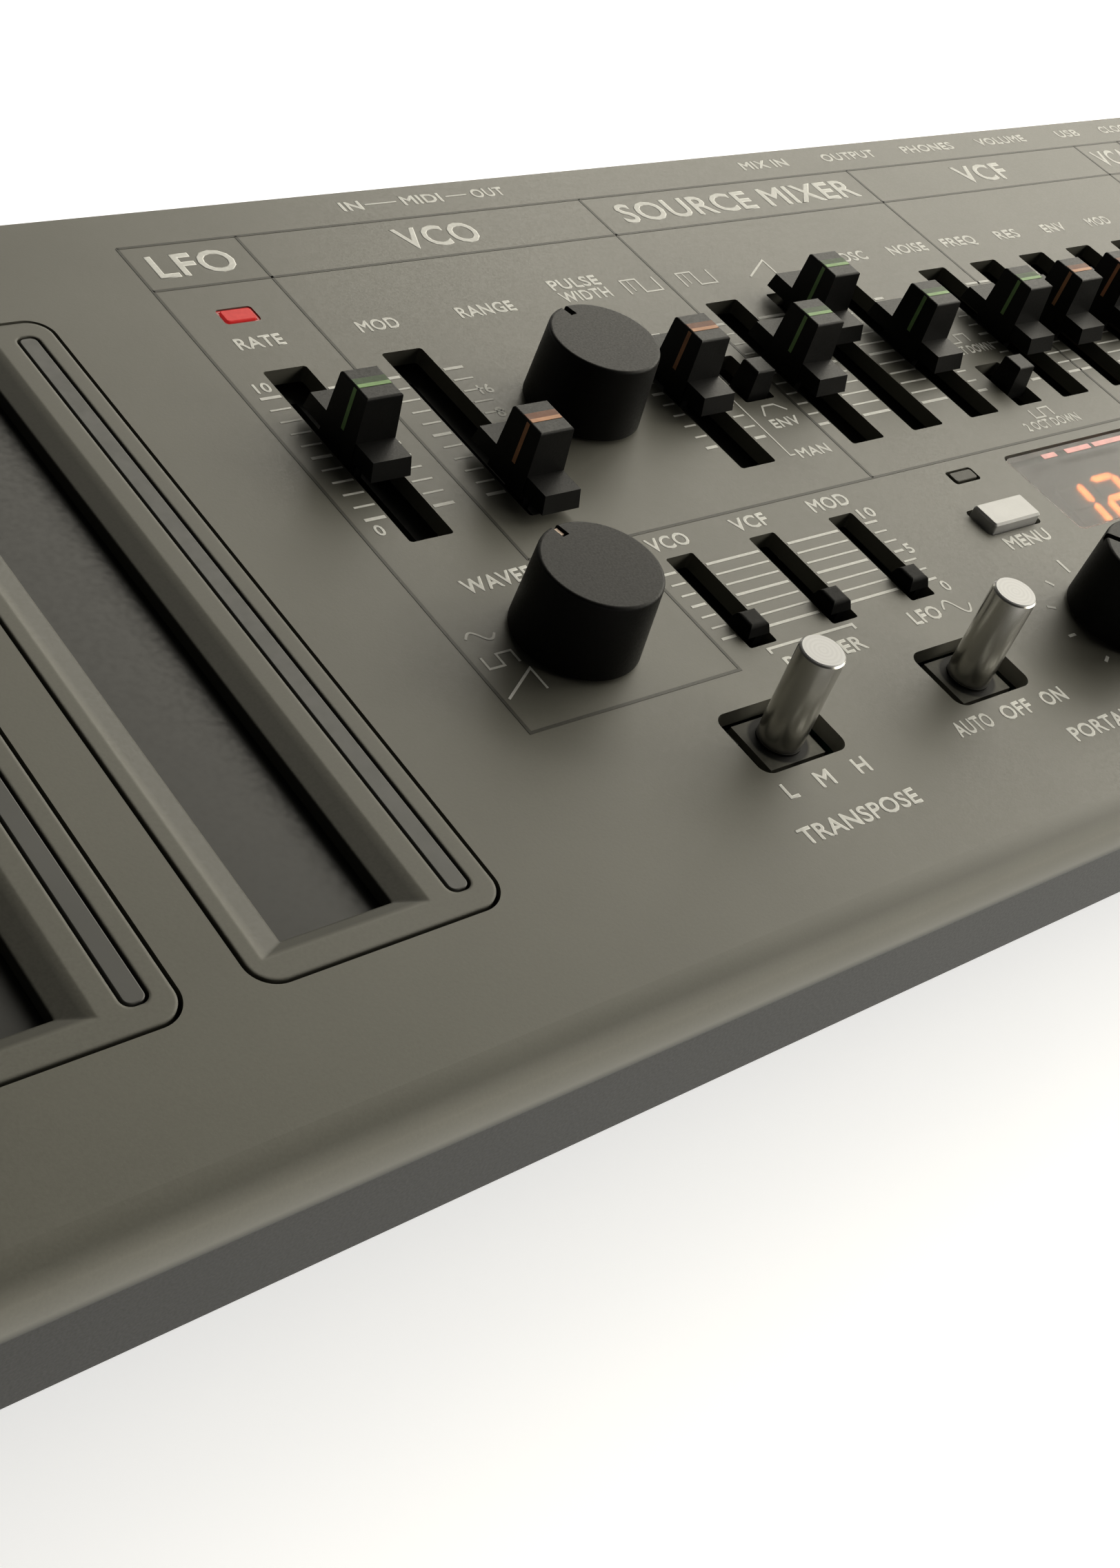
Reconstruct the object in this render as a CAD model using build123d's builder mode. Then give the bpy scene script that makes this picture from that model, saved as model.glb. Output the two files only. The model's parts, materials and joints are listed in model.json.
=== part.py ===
"""Desktop analogue-style synthesizer module with two touch ribbons.

Frame: the origin is on the floor under the middle of the instrument.
+X is the player's right, +Y is away from the player, +Z is up.  All sizes are in millimetres.
"""

from build123d import *
import os

os.makedirs("parts", exist_ok=True)

# ---------------------------------------------------------------- driving dimensions
LENGTH = 300.0             # along X
FRONT = -64.0              # front face of the metal cover
REAR = 53.2                # rear edge of the metal cover
BACK = 64.0                # rearmost point, the volume knob
PANEL_TOP = 35.3           # top face of the metal cover
PANEL_T = 2.0              # its thickness
PANEL_UNDER = PANEL_TOP - PANEL_T
LIP = 14.0                 # depth of the cover's skirt
BULLNOSE_R = 4.1           # rolled front edge
SIDE_R = 1.2               # rolled side edges
FLOOR_Z = 2.0              # underside of the case, on its feet
GAP = 0.3                  # clearance between separate moving pieces

# sliders
FADER_Y = 8.7              # middle of the long slots
FADER_STEP = 2.0           # slider movement for one unit of its 0 to 10 scale
FADER_SLOT = (5.4, 28.4)
COLUMN_PITCH = 10.53
MIXER_X = -6.7             # first column of the mixer
FILTER_X = 43.1            # first column of the filter
ENVELOPE_X = 109.5         # first column of the envelope
FADERS = {                 # column, value on the 0 to 10 scale
    "lfo_rate_slider": (-70.2, 5.2),
    "vco_mod_slider": (-55.1, 0.5),
    "pulse_width_slider": (-24.8, 5.3),
    "pulse_level_slider": (MIXER_X, 5.0),
    "saw_level_slider": (MIXER_X + COLUMN_PITCH, 9.1),
    "sub_level_slider": (MIXER_X + 2 * COLUMN_PITCH, 5.0),
    "noise_level_slider": (32.5, 5.0),
    "filter_freq_slider": (FILTER_X, 5.0),
    "filter_res_slider": (FILTER_X + COLUMN_PITCH, 5.0),
    "filter_env_slider": (FILTER_X + 2 * COLUMN_PITCH, 6.0),
    "filter_mod_slider": (FILTER_X + 3 * COLUMN_PITCH, 2.0),
    "filter_kybd_slider": (FILTER_X + 4 * COLUMN_PITCH, 5.0),
    "attack_slider": (ENVELOPE_X, 1.0),
    "decay_slider": (ENVELOPE_X + COLUMN_PITCH, 5.0),
    "sustain_slider": (ENVELOPE_X + 2 * COLUMN_PITCH, 7.0),
    "release_slider": (ENVELOPE_X + 3 * COLUMN_PITCH, 4.0),
}

BENDER_Y = -22.7           # middle of the three short slots
BENDER_REST_Y = -27.2
BENDER_SLOT = (3.8, 14.2)
BENDERS = {
    "bender_vco_slider": -45.4,
    "bender_vcf_slider": -33.4,
    "bender_mod_slider": -21.2,
}

# three-position selectors: column, middle of the slot, resting place of the cap
SELECTOR_SLOT = (4.7, 8.4)
SELECTORS = {
    "pwm_source_switch": (-15.7, 8.8, 6.8),
    "sub_type_switch": (23.4, -1.1, -1.1),
    "vca_mode_switch": (96.5, -1.1, 0.9),
}

# knobs: centre, and the direction of the pointer notch in degrees from +X
KNOB_TOP_D = 12.6
KNOB_BASE_D = 13.5
KNOB_H = 9.2
SHAFT_D = 5.0
KNOBS = {
    "range_knob": (-40.0, 9.0, 102.0),
    "waveform_knob": (-64.8, -22.3, 102.0),
    "portamento_knob": (1.3, -40.5, 130.0),
    "value_knob": (66.0, -22.0, 90.0),
}

# toggle levers
LEVER_D = 4.7
LEVER_TOP = 46.0
LEVER_PIVOT_Z = 29.0
LEVER_SLOT = (11.5, 8.3)
LEVERS = {
    "transpose_lever": (-52.4, -40.5),
    "portamento_lever": (-24.4, -40.5),
}

# push buttons: centre, hole, cap size, height of the cap above the panel
MENU_HOLE = (9.3, 4.5)
MENU_CAP = (8.2, 3.8)
KEY_HOLE = (16.6, 12.6)
KEY_CAP = (16.0, 12.0)
KEY_PITCH = 20.0
FIRST_KEY_X = 44.0
KEY_Y = -41.0
BUTTON_TRAVEL = 0.8
BUTTONS = {"menu_button": (0.5, -21.95, MENU_HOLE, MENU_CAP, 1.2)}
for index, word in enumerate(("shift", "hold", "arp", "seq", "play")):
    BUTTONS[word + "_button"] = (FIRST_KEY_X + index * KEY_PITCH, KEY_Y, KEY_HOLE, KEY_CAP, 1.4)

# ribbon controllers
RIBBON_X = (-133.6, -103.3)
RIBBON_Y = -5.85
BEZEL = (24.0, 83.6)
BEZEL_GAP = 0.4            # shadow gap all round the bezel
BEZEL_R = 2.4
BEZEL_BOTTOM = 30.8
WELL_X = -2.48             # middle of the well, from the middle of the bezel
WELL_TOP = (16.2, 78.9)
WELL_FLOOR = (10.8, 75.9)
WELL_BEVEL = 0.7
SENSOR_TOP = 33.2
BAR_X = 8.95               # middle of the light bar, from the middle of the bezel
BAR_SLOT = (2.5, 79.2)

# display and lamps
DISPLAY = (28.6, -19.9, 38.0, 14.0)
RATE_LAMP = (-70.05, 32.65, 3.8, 2.0)
MODE_LAMP = (1.1, -14.3, 3.8, 1.6)

# sockets on the rear panel
REAR_PANEL_Y = (50.6, 52.6)
MIDI_X = (-44.7, -24.3)
MIDI_Z = 21.6
JACK_X = (24.5, 41.3, 58.4, 104.5, 116.5, 128.5)
JACK_Z = 17.1
JACK_BORE_R = 1.8
JACK_BORE_L = 15.0
JACK_FACE_Y = 55.6
VOLUME_X = 75.5
USB_X = 91.9
USB_Z = 13.6
POWER_X = 139.5

# boards and batteries
PANEL_BOARD_Z = 24.2
BOARD_T = 1.6
BOARD_TOP = PANEL_BOARD_Z + BOARD_T
MAIN_BOARD_Z = 10.0
CELL_R = 7.25
CELL_L = 50.5
CELL_Y = (-42.2, -26.9)
CELL_Z = 11.9
BAY_X = (-80.5, 25.5)
BAY_Y = (-52.0, -19.0)
BAY_ROOF = 19.5
SPEAKER = (84.0, -24.0)
CASE_X = 147.6
CASE_FRONT = -52.0
CASE_T = 2.4
SCREWS = ((-140.0, 44.0), (-86.0, -46.0), (-4.0, 44.0), (30.0, -46.0), (140.0, 40.0), (141.0, -46.0))
FEET = ((-130.0, -40.0), (130.0, -40.0), (-130.0, 42.0), (130.0, 42.0))


SHEET = 2.0                # thickness of the cover's skirt
REAR_R = 0.6
CASE_TOP = 30.4
REAR_PANEL_TOP = PANEL_UNDER - 0.3
SILL_TOP = 7.3
PILLAR_R = 3.5
PILLAR_FOOT = 24.0         # where the cover's pillars meet the case's screw tubes
SCREW_R = 1.5
SCREW_HEAD_R = 2.7
SCREW_HEAD_TOP = 6.0
BAY_WALL = 2.5
DOOR_TOP = 4.1
TONGUE = 1.2
TONGUE_Z = (3.1, 4.0)
BOARD_PILLARS = ((-50.0, 6.0), (60.0, 6.0), (130.0, 6.0))
MAIN_BOARD_X = (-58.0, 145.0 - CASE_T)
MAIN_BOARD_Y = (0.0, 47.0)
MAIN_BOARD_TOP = MAIN_BOARD_Z + BOARD_T
PANEL_BOARD_X = (-89.0, 143.0)
PANEL_BOARD_Y = (-49.0, 36.5)
DISPLAY_MODULE_TOP = 32.6

# shapes inside the controls
POT_TOP = 32.4
STEM_W = 1.0
STEM_L = 3.2
STEM_FOOT = 28.5
BENDER_TRAVEL = 10.0
SELECTOR_TRAVEL = 4.0
SWITCH_STEM = 2.0
SWITCH_TOP = 31.6
ROTARY_TOP = 32.2
SHAFT_FOOT = 28.0
SHAFT_CLEARANCE = 0.05
TRUNNION_R = 1.0
HUB_R = 2.1
TRUNNION_L = 8.0
TACT_TOP = 29.6
COLLAR_Z = 33.5            # underside of the plate round each lever
FADER_H = 8.2              # heights above the panel
FOOT_H = 3.05
FOOT_LIFT = 1.0
BENDER_H = 1.5
SELECTOR_H = 3.5
FLANGE_T = 0.8
DIN_R = 7.6
DIN_CORE_R = 5.6
BUSHING_R = 3.0
VOLUME_R = 5.0
POWER_SLOT = (8.0, 3.4)
POWER_STEM = 2.6
POWER_TRAVEL = 4.0


def finish(node, name):
    """Label a finished piece and write it as its own STEP file."""
    node.part.label = name
    export_step(node.part, "parts/" + name + ".step")


def fader_rest_y(value):
    """Distance along Y of a long slider whose scale reads the given value."""
    return FADER_Y + (value - 5.0) * FADER_STEP


# ---------------------------------------------------------------- metal cover
with BuildPart() as top_cover:
    with Locations((0, (FRONT + REAR) / 2, PANEL_TOP - LIP / 2)):
        Box(LENGTH, REAR - FRONT, LIP)
    top_edges = top_cover.edges().filter_by(Axis.X).group_by(Axis.Z)[-1]
    fillet(top_edges.sort_by(Axis.Y)[0], BULLNOSE_R)
    for side in (0, -1):
        side_face = top_cover.faces().sort_by(Axis.X)[side]
        rolled = side_face.edges().filter_by(lambda e: e.center().Z > PANEL_TOP - LIP + 1)
        fillet(rolled.filter_by(lambda e: e.center().Y < REAR - 1), SIDE_R)
    rear_edge = top_cover.edges().filter_by(Axis.X).group_by(Axis.Z)[-1].sort_by(Axis.Y)[-1]
    fillet(rear_edge, REAR_R)
    # hollow underside, open at the back for the rear panel
    with BuildSketch(Plane.XY.offset(PANEL_UNDER)):
        with Locations((0, (FRONT + SHEET + REAR) / 2 + 1)):
            Rectangle(LENGTH - 2 * SHEET, REAR - FRONT - SHEET + 2)
    extrude(amount=-LIP, mode=Mode.SUBTRACT)
    # every opening in the panel
    with BuildSketch(Plane.XY.offset(PANEL_TOP)):
        with Locations(*[(x, FADER_Y) for x, value in FADERS.values()]):
            RectangleRounded(*FADER_SLOT, 0.4)
        with Locations(*[(x, BENDER_Y) for x in BENDERS.values()]):
            RectangleRounded(*BENDER_SLOT, 0.3)
        with Locations(*[(x, y) for x, y, rest in SELECTORS.values()]):
            RectangleRounded(*SELECTOR_SLOT, 0.3)
        with Locations(*LEVERS.values()):
            RectangleRounded(*LEVER_SLOT, 1.4)
        with Locations(*[(x, y) for x, y, pointer in KNOBS.values()]):
            Circle(SHAFT_D / 2 + 1.0)
        for x, y, hole, cap, height in BUTTONS.values():
            with Locations((x, y)):
                RectangleRounded(*hole, 0.6)
        with Locations(*[(x, RIBBON_Y) for x in RIBBON_X]):
            RectangleRounded(BEZEL[0] + 2 * BEZEL_GAP, BEZEL[1] + 2 * BEZEL_GAP, BEZEL_R + BEZEL_GAP)
        with Locations(DISPLAY[:2]):
            RectangleRounded(DISPLAY[2], DISPLAY[3], 1.0)
        for x, y, width, depth in (RATE_LAMP, MODE_LAMP):
            with Locations((x, y)):
                RectangleRounded(width + 0.7, depth + 0.7, 0.5)
    extrude(amount=-PANEL_T, mode=Mode.SUBTRACT)
    # pillars that take the case screws
    with BuildSketch(Plane.XY.offset(PANEL_UNDER)):
        with Locations(*SCREWS):
            Circle(PILLAR_R)
            Circle(SCREW_R - 0.2, mode=Mode.SUBTRACT)
    extrude(amount=PILLAR_FOOT - PANEL_UNDER)
finish(top_cover, "top_cover")

# ---------------------------------------------------------------- plastic case
with BuildPart() as bottom_case:
    case_depth = REAR_PANEL_Y[0] - CASE_FRONT
    case_mid_y = (REAR_PANEL_Y[0] + CASE_FRONT) / 2
    with BuildSketch(Plane.XY.offset(FLOOR_Z)):
        with Locations((0, case_mid_y)):
            Rectangle(2 * CASE_X, case_depth)
    extrude(amount=CASE_TOP - FLOOR_Z)
    chamfer(bottom_case.faces().sort_by(Axis.Z)[0].edges().sort_by(Axis.Y)[:-1], 1.2)
    with BuildSketch(Plane.XY.offset(FLOOR_Z + CASE_T)):
        with Locations((0, case_mid_y + CASE_T / 2)):
            Rectangle(2 * CASE_X - 2 * CASE_T, case_depth - CASE_T)
    extrude(amount=CASE_TOP, mode=Mode.SUBTRACT)
    # sill that carries the rear panel
    with BuildSketch(Plane.XY.offset(FLOOR_Z)):
        with Locations((0, sum(REAR_PANEL_Y) / 2)):
            Rectangle(2 * CASE_X, REAR_PANEL_Y[1] - REAR_PANEL_Y[0])
    extrude(amount=SILL_TOP - FLOOR_Z)
    # battery bay, open below
    with BuildSketch(Plane.XY.offset(FLOOR_Z + CASE_T)):
        with Locations((sum(BAY_X) / 2, (CASE_FRONT + BAY_Y[1] + BAY_WALL) / 2)):
            Rectangle(BAY_X[1] - BAY_X[0] + 2 * BAY_WALL, BAY_Y[1] + BAY_WALL - CASE_FRONT)
    extrude(amount=BAY_ROOF + 1.5 - FLOOR_Z - CASE_T)
    with BuildSketch(Plane.XY.offset(FLOOR_Z)):
        with Locations((sum(BAY_X) / 2, (CASE_FRONT + CASE_T + BAY_Y[1]) / 2)):
            Rectangle(BAY_X[1] - BAY_X[0], BAY_Y[1] - CASE_FRONT - CASE_T)
    extrude(amount=BAY_ROOF - FLOOR_Z, mode=Mode.SUBTRACT)
    # notch and grooves that the battery door slides in
    with BuildSketch(Plane.XY.offset(FLOOR_Z)):
        with Locations((sum(BAY_X) / 2, (CASE_FRONT + BAY_Y[1]) / 2)):
            Rectangle(BAY_X[1] - BAY_X[0], BAY_Y[1] - CASE_FRONT)
    extrude(amount=DOOR_TOP + GAP - FLOOR_Z, mode=Mode.SUBTRACT)
    with BuildSketch(Plane.XY.offset(TONGUE_Z[0] - GAP)):
        with Locations((sum(BAY_X) / 2, (CASE_FRONT + BAY_Y[1]) / 2)):
            Rectangle(BAY_X[1] - BAY_X[0] + 2 * (TONGUE + GAP), BAY_Y[1] - CASE_FRONT)
    extrude(amount=TONGUE_Z[1] - TONGUE_Z[0] + 2 * GAP, mode=Mode.SUBTRACT)
    # screw tubes and board pillars
    with BuildSketch(Plane.XY.offset(FLOOR_Z)):
        with Locations(*SCREWS):
            Circle(PILLAR_R)
    extrude(amount=PILLAR_FOOT - FLOOR_Z)
    with BuildSketch(Plane.XY.offset(FLOOR_Z)):
        with Locations(*BOARD_PILLARS):
            Circle(2.5)
    extrude(amount=MAIN_BOARD_Z - FLOOR_Z)
    with BuildSketch(Plane.XY.offset(FLOOR_Z)):
        with Locations(*SCREWS):
            Circle(SCREW_HEAD_R + 0.2)
    extrude(amount=SCREW_HEAD_TOP - FLOOR_Z, mode=Mode.SUBTRACT)
    with BuildSketch(Plane.XY.offset(FLOOR_Z)):
        with Locations(*SCREWS):
            Circle(SCREW_R + 0.2)
    extrude(amount=PILLAR_FOOT, mode=Mode.SUBTRACT)
    # sound holes under the speaker
    with BuildSketch(Plane.XY.offset(FLOOR_Z)):
        with Locations(SPEAKER):
            with GridLocations(4.5, 4.5, 6, 6):
                Circle(1.1)
    extrude(amount=CASE_T, mode=Mode.SUBTRACT)
finish(bottom_case, "bottom_case")

with BuildPart() as battery_door:
    with BuildSketch(Plane.XY.offset(FLOOR_Z + 0.1)):
        with Locations((sum(BAY_X) / 2, (CASE_FRONT + BAY_Y[1] - GAP) / 2)):
            Rectangle(BAY_X[1] - BAY_X[0] - 2 * GAP, BAY_Y[1] - GAP - CASE_FRONT)
    extrude(amount=DOOR_TOP - FLOOR_Z - 0.1)
    with BuildSketch(Plane.XY.offset(TONGUE_Z[0])):
        with Locations((sum(BAY_X) / 2, (CASE_FRONT + BAY_Y[1] - GAP) / 2)):
            Rectangle(BAY_X[1] - BAY_X[0] + 2 * (TONGUE - GAP), BAY_Y[1] - GAP - CASE_FRONT - 4)
    extrude(amount=TONGUE_Z[1] - TONGUE_Z[0])
    # grip ridges cut across the outside
    with BuildSketch(Plane.XY.offset(FLOOR_Z + 0.1)):
        with Locations((sum(BAY_X) / 2, CASE_FRONT + 10)):
            with GridLocations(1, 2.4, 1, 5):
                Rectangle(24, 1.0)
    extrude(amount=0.6, mode=Mode.SUBTRACT)
finish(battery_door, "battery_door")

with BuildPart() as rear_panel:
    with BuildSketch(Plane.XZ.offset(-REAR_PANEL_Y[0])):
        with Locations((0, (SILL_TOP + REAR_PANEL_TOP) / 2)):
            Rectangle(2 * CASE_X, REAR_PANEL_TOP - SILL_TOP)
        with Locations(*[(x, MIDI_Z) for x in MIDI_X]):
            Circle(DIN_R + 0.4, mode=Mode.SUBTRACT)
        with Locations(*[(x, JACK_Z) for x in JACK_X]):
            Circle(BUSHING_R + 0.2, mode=Mode.SUBTRACT)
        with Locations((VOLUME_X, JACK_Z)):
            Circle(SHAFT_D / 2 + 1.0, mode=Mode.SUBTRACT)
        with Locations((USB_X, USB_Z)):
            Rectangle(9.0, 4.0, mode=Mode.SUBTRACT)
        with Locations((POWER_X, JACK_Z)):
            Rectangle(POWER_SLOT[0], POWER_SLOT[1], mode=Mode.SUBTRACT)
    extrude(amount=REAR_PANEL_Y[0] - REAR_PANEL_Y[1])
finish(rear_panel, "rear_panel")

with BuildPart() as rubber_feet:
    with BuildSketch(Plane.XY):
        with Locations(*FEET):
            Circle(6.0)
    extrude(amount=FLOOR_Z)
    chamfer(rubber_feet.edges().group_by(Axis.Z)[0], 0.5)
finish(rubber_feet, "rubber_feet")

with BuildPart() as case_screws:
    with BuildSketch(Plane.XY.offset(SCREW_HEAD_TOP - 1.8)):
        with Locations(*SCREWS):
            Circle(SCREW_HEAD_R)
    extrude(amount=1.8)
    with BuildSketch(Plane.XY.offset(SCREW_HEAD_TOP - 0.1)):
        with Locations(*SCREWS):
            Circle(SCREW_R - 0.2)
    extrude(amount=PILLAR_FOOT + 4 - SCREW_HEAD_TOP)
    with BuildSketch(Plane.XY.offset(SCREW_HEAD_TOP - 1.8)):
        with Locations(*SCREWS):
            Rectangle(2.6, 0.7)
            Rectangle(0.7, 2.6)
    extrude(amount=1.0, mode=Mode.SUBTRACT)
finish(case_screws, "case_screws")

# ---------------------------------------------------------------- ribbon controllers
with BuildPart() as ribbon_bezels:
    for ribbon_x in RIBBON_X:
        well_x = ribbon_x + WELL_X
        bar_x = ribbon_x + BAR_X
        with BuildSketch(Plane.XY.offset(BEZEL_BOTTOM)):
            with Locations((ribbon_x, RIBBON_Y)):
                RectangleRounded(*BEZEL, BEZEL_R)
        extrude(amount=PANEL_TOP - BEZEL_BOTTOM)
        with BuildSketch(Plane.XY.offset(PANEL_UNDER)):
            with Locations((ribbon_x, RIBBON_Y)):
                RectangleRounded(BEZEL[0] + 3, BEZEL[1] + 3, BEZEL_R)
        extrude(amount=-1.2)
        with BuildSketch(Plane.XY.offset(PANEL_TOP)):
            with Locations((well_x, RIBBON_Y)):
                Rectangle(*WELL_TOP)
        with BuildSketch(Plane.XY.offset(PANEL_TOP - WELL_BEVEL)):
            with Locations((well_x, RIBBON_Y)):
                Rectangle(*WELL_FLOOR)
        loft(mode=Mode.SUBTRACT)
        with BuildSketch(Plane.XY.offset(PANEL_TOP - WELL_BEVEL)):
            with Locations((well_x, RIBBON_Y)):
                Rectangle(*WELL_FLOOR)
        extrude(amount=-PANEL_TOP, mode=Mode.SUBTRACT)
        with BuildSketch(Plane.XY.offset(PANEL_TOP)):
            with Locations((bar_x, RIBBON_Y)):
                RectangleRounded(*BAR_SLOT, 1.0)
        extrude(amount=-PANEL_TOP, mode=Mode.SUBTRACT)
finish(ribbon_bezels, "ribbon_bezels")

with BuildPart() as ribbon_sensors:
    with BuildSketch(Plane.XY.offset(BEZEL_BOTTOM)):
        with Locations(*[(x + WELL_X, RIBBON_Y) for x in RIBBON_X]):
            Rectangle(WELL_FLOOR[0] - 0.2, WELL_FLOOR[1] - 0.2)
    extrude(amount=SENSOR_TOP - BEZEL_BOTTOM)
finish(ribbon_sensors, "ribbon_sensors")

with BuildPart() as ribbon_light_bars:
    with BuildSketch(Plane.XY.offset(BEZEL_BOTTOM)):
        with Locations(*[(x + BAR_X, RIBBON_Y) for x in RIBBON_X]):
            RectangleRounded(BAR_SLOT[0] - 0.6, BAR_SLOT[1] - 0.6, 0.7)
    extrude(amount=PANEL_TOP - BEZEL_BOTTOM)
    fillet(ribbon_light_bars.edges().group_by(Axis.Z)[-1], 0.12)
finish(ribbon_light_bars, "ribbon_light_bars")

# ---------------------------------------------------------------- display and lamps
with BuildPart() as display_window:
    with BuildSketch(Plane.XY.offset(PANEL_TOP - 0.15)):
        with Locations(DISPLAY[:2]):
            RectangleRounded(DISPLAY[2] - 0.7, DISPLAY[3] - 0.7, 0.8)
    extrude(amount=-1.5)
finish(display_window, "display_window")

with BuildPart() as display_module:
    with BuildSketch(Plane.XY.offset(BOARD_TOP)):
        with Locations(DISPLAY[:2]):
            Rectangle(DISPLAY[2] - 2.0, DISPLAY[3] - 1.0)
    extrude(amount=DISPLAY_MODULE_TOP - BOARD_TOP)
finish(display_module, "display_module")

with BuildPart() as indicator_leds:
    for x, y, width, depth in (RATE_LAMP, MODE_LAMP):
        with BuildSketch(Plane.XY.offset(BOARD_TOP)):
            with Locations((x, y)):
                RectangleRounded(width, depth, 0.4)
        extrude(amount=PANEL_TOP + 0.1 - BOARD_TOP)
    fillet(indicator_leds.edges().group_by(Axis.Z)[-1], 0.15)
finish(indicator_leds, "indicator_leds")

# ---------------------------------------------------------------- circuit boards
with BuildPart() as panel_board:
    with BuildSketch(Plane.XY.offset(PANEL_BOARD_Z)):
        with Locations((sum(PANEL_BOARD_X) / 2, sum(PANEL_BOARD_Y) / 2)):
            Rectangle(PANEL_BOARD_X[1] - PANEL_BOARD_X[0], PANEL_BOARD_Y[1] - PANEL_BOARD_Y[0])
        with Locations(*SCREWS):
            Circle(PILLAR_R + 0.8, mode=Mode.SUBTRACT)
    extrude(amount=BOARD_T)
finish(panel_board, "panel_board")

with BuildPart() as main_board:
    with BuildSketch(Plane.XY.offset(MAIN_BOARD_Z)):
        with Locations((sum(MAIN_BOARD_X) / 2, sum(MAIN_BOARD_Y) / 2)):
            Rectangle(MAIN_BOARD_X[1] - MAIN_BOARD_X[0], MAIN_BOARD_Y[1] - MAIN_BOARD_Y[0])
        with Locations(*SCREWS):
            Circle(PILLAR_R + 0.8, mode=Mode.SUBTRACT)
    extrude(amount=BOARD_T)
    # processor, converter and memory chips
    with BuildSketch(Plane.XY.offset(MAIN_BOARD_TOP)):
        with Locations((10, 20), (40, 18), (-20, 16)):
            Rectangle(14, 14)
        with Locations((70, 22), (95, 20)):
            Rectangle(9, 6)
    extrude(amount=1.2)
finish(main_board, "main_board")

# ---------------------------------------------------------------- parts on the panel board
with BuildPart() as slide_pots:
    with BuildSketch(Plane.XY.offset(BOARD_TOP)):
        with Locations(*[(x, FADER_Y) for x, value in FADERS.values()]):
            Rectangle(7.6, 36.0)
        with Locations(*[(x, BENDER_Y) for x in BENDERS.values()]):
            Rectangle(6.0, 19.0)
    extrude(amount=POT_TOP - BOARD_TOP)
    with BuildSketch(Plane.XY.offset(POT_TOP)):
        with Locations(*[(x, FADER_Y) for x, value in FADERS.values()]):
            Rectangle(STEM_W + 2 * GAP, 10 * FADER_STEP + STEM_L + 2 * GAP)
        with Locations(*[(x, BENDER_Y) for x in BENDERS.values()]):
            Rectangle(STEM_W + 2 * GAP, BENDER_TRAVEL + STEM_L + 2 * GAP)
    extrude(amount=STEM_FOOT - GAP - POT_TOP, mode=Mode.SUBTRACT)
finish(slide_pots, "slide_pots")

with BuildPart() as rotary_pots:
    with BuildSketch(Plane.XY.offset(BOARD_TOP)):
        with Locations(*[(x, y) for x, y, pointer in KNOBS.values()]):
            Rectangle(11.0, 11.0)
    extrude(amount=ROTARY_TOP - BOARD_TOP)
    with BuildSketch(Plane.XY.offset(ROTARY_TOP)):
        with Locations(*[(x, y) for x, y, pointer in KNOBS.values()]):
            Circle(SHAFT_D / 2 + SHAFT_CLEARANCE)
    extrude(amount=SHAFT_FOOT - GAP - ROTARY_TOP, mode=Mode.SUBTRACT)
    # volume control behind the rear panel
    with BuildSketch(Plane.XZ.offset(-REAR_PANEL_Y[0])):
        with Locations((VOLUME_X, JACK_Z)):
            Rectangle(11.0, 11.0)
    extrude(amount=9.0)
    with BuildSketch(Plane.XZ.offset(-REAR_PANEL_Y[0])):
        with Locations((VOLUME_X, JACK_Z)):
            Circle(SHAFT_D / 2 + SHAFT_CLEARANCE)
    extrude(amount=6.0 + GAP, mode=Mode.SUBTRACT)
finish(rotary_pots, "rotary_pots")

with BuildPart() as switch_bodies:
    # bodies of the sliding selectors
    with BuildSketch(Plane.XY.offset(BOARD_TOP)):
        with Locations(*[(x, y) for x, y, rest in SELECTORS.values()]):
            Rectangle(6.4, 13.0)
    extrude(amount=SWITCH_TOP - BOARD_TOP)
    with BuildSketch(Plane.XY.offset(SWITCH_TOP)):
        with Locations(*[(x, y) for x, y, rest in SELECTORS.values()]):
            Rectangle(SWITCH_STEM + 2 * GAP, SWITCH_STEM + SELECTOR_TRAVEL + 2 * GAP)
    extrude(amount=STEM_FOOT - GAP - SWITCH_TOP, mode=Mode.SUBTRACT)
    # bodies of the toggle levers, slotted for the swing and bored for the trunnions
    with BuildSketch(Plane.XY.offset(BOARD_TOP)):
        with Locations(*LEVERS.values()):
            Rectangle(14.0, 9.6)
    extrude(amount=SWITCH_TOP - BOARD_TOP)
    with BuildSketch(Plane.XY.offset(SWITCH_TOP)):
        with Locations(*LEVERS.values()):
            Rectangle(9.4, LEVER_D + 2 * GAP)
    extrude(amount=LEVER_PIVOT_Z - HUB_R - GAP - SWITCH_TOP, mode=Mode.SUBTRACT)
    for x, y in LEVERS.values():
        with BuildSketch(Plane.XZ.offset(-y)):
            with Locations((x, LEVER_PIVOT_Z)):
                Circle(TRUNNION_R + SHAFT_CLEARANCE)
        extrude(amount=TRUNNION_L / 2 + GAP, both=True, mode=Mode.SUBTRACT)
    # body of the power switch
    with BuildSketch(Plane.XZ.offset(-REAR_PANEL_Y[0] + 0.1)):
        with Locations((POWER_X, JACK_Z)):
            Rectangle(9.0, 6.0)
    extrude(amount=6.0)
    with BuildSketch(Plane.XZ.offset(-REAR_PANEL_Y[0] + 0.1)):
        with Locations((POWER_X, JACK_Z)):
            Rectangle(POWER_SLOT[0], POWER_STEM + 2 * GAP)
    extrude(amount=3.5, mode=Mode.SUBTRACT)
finish(switch_bodies, "switch_bodies")

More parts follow.
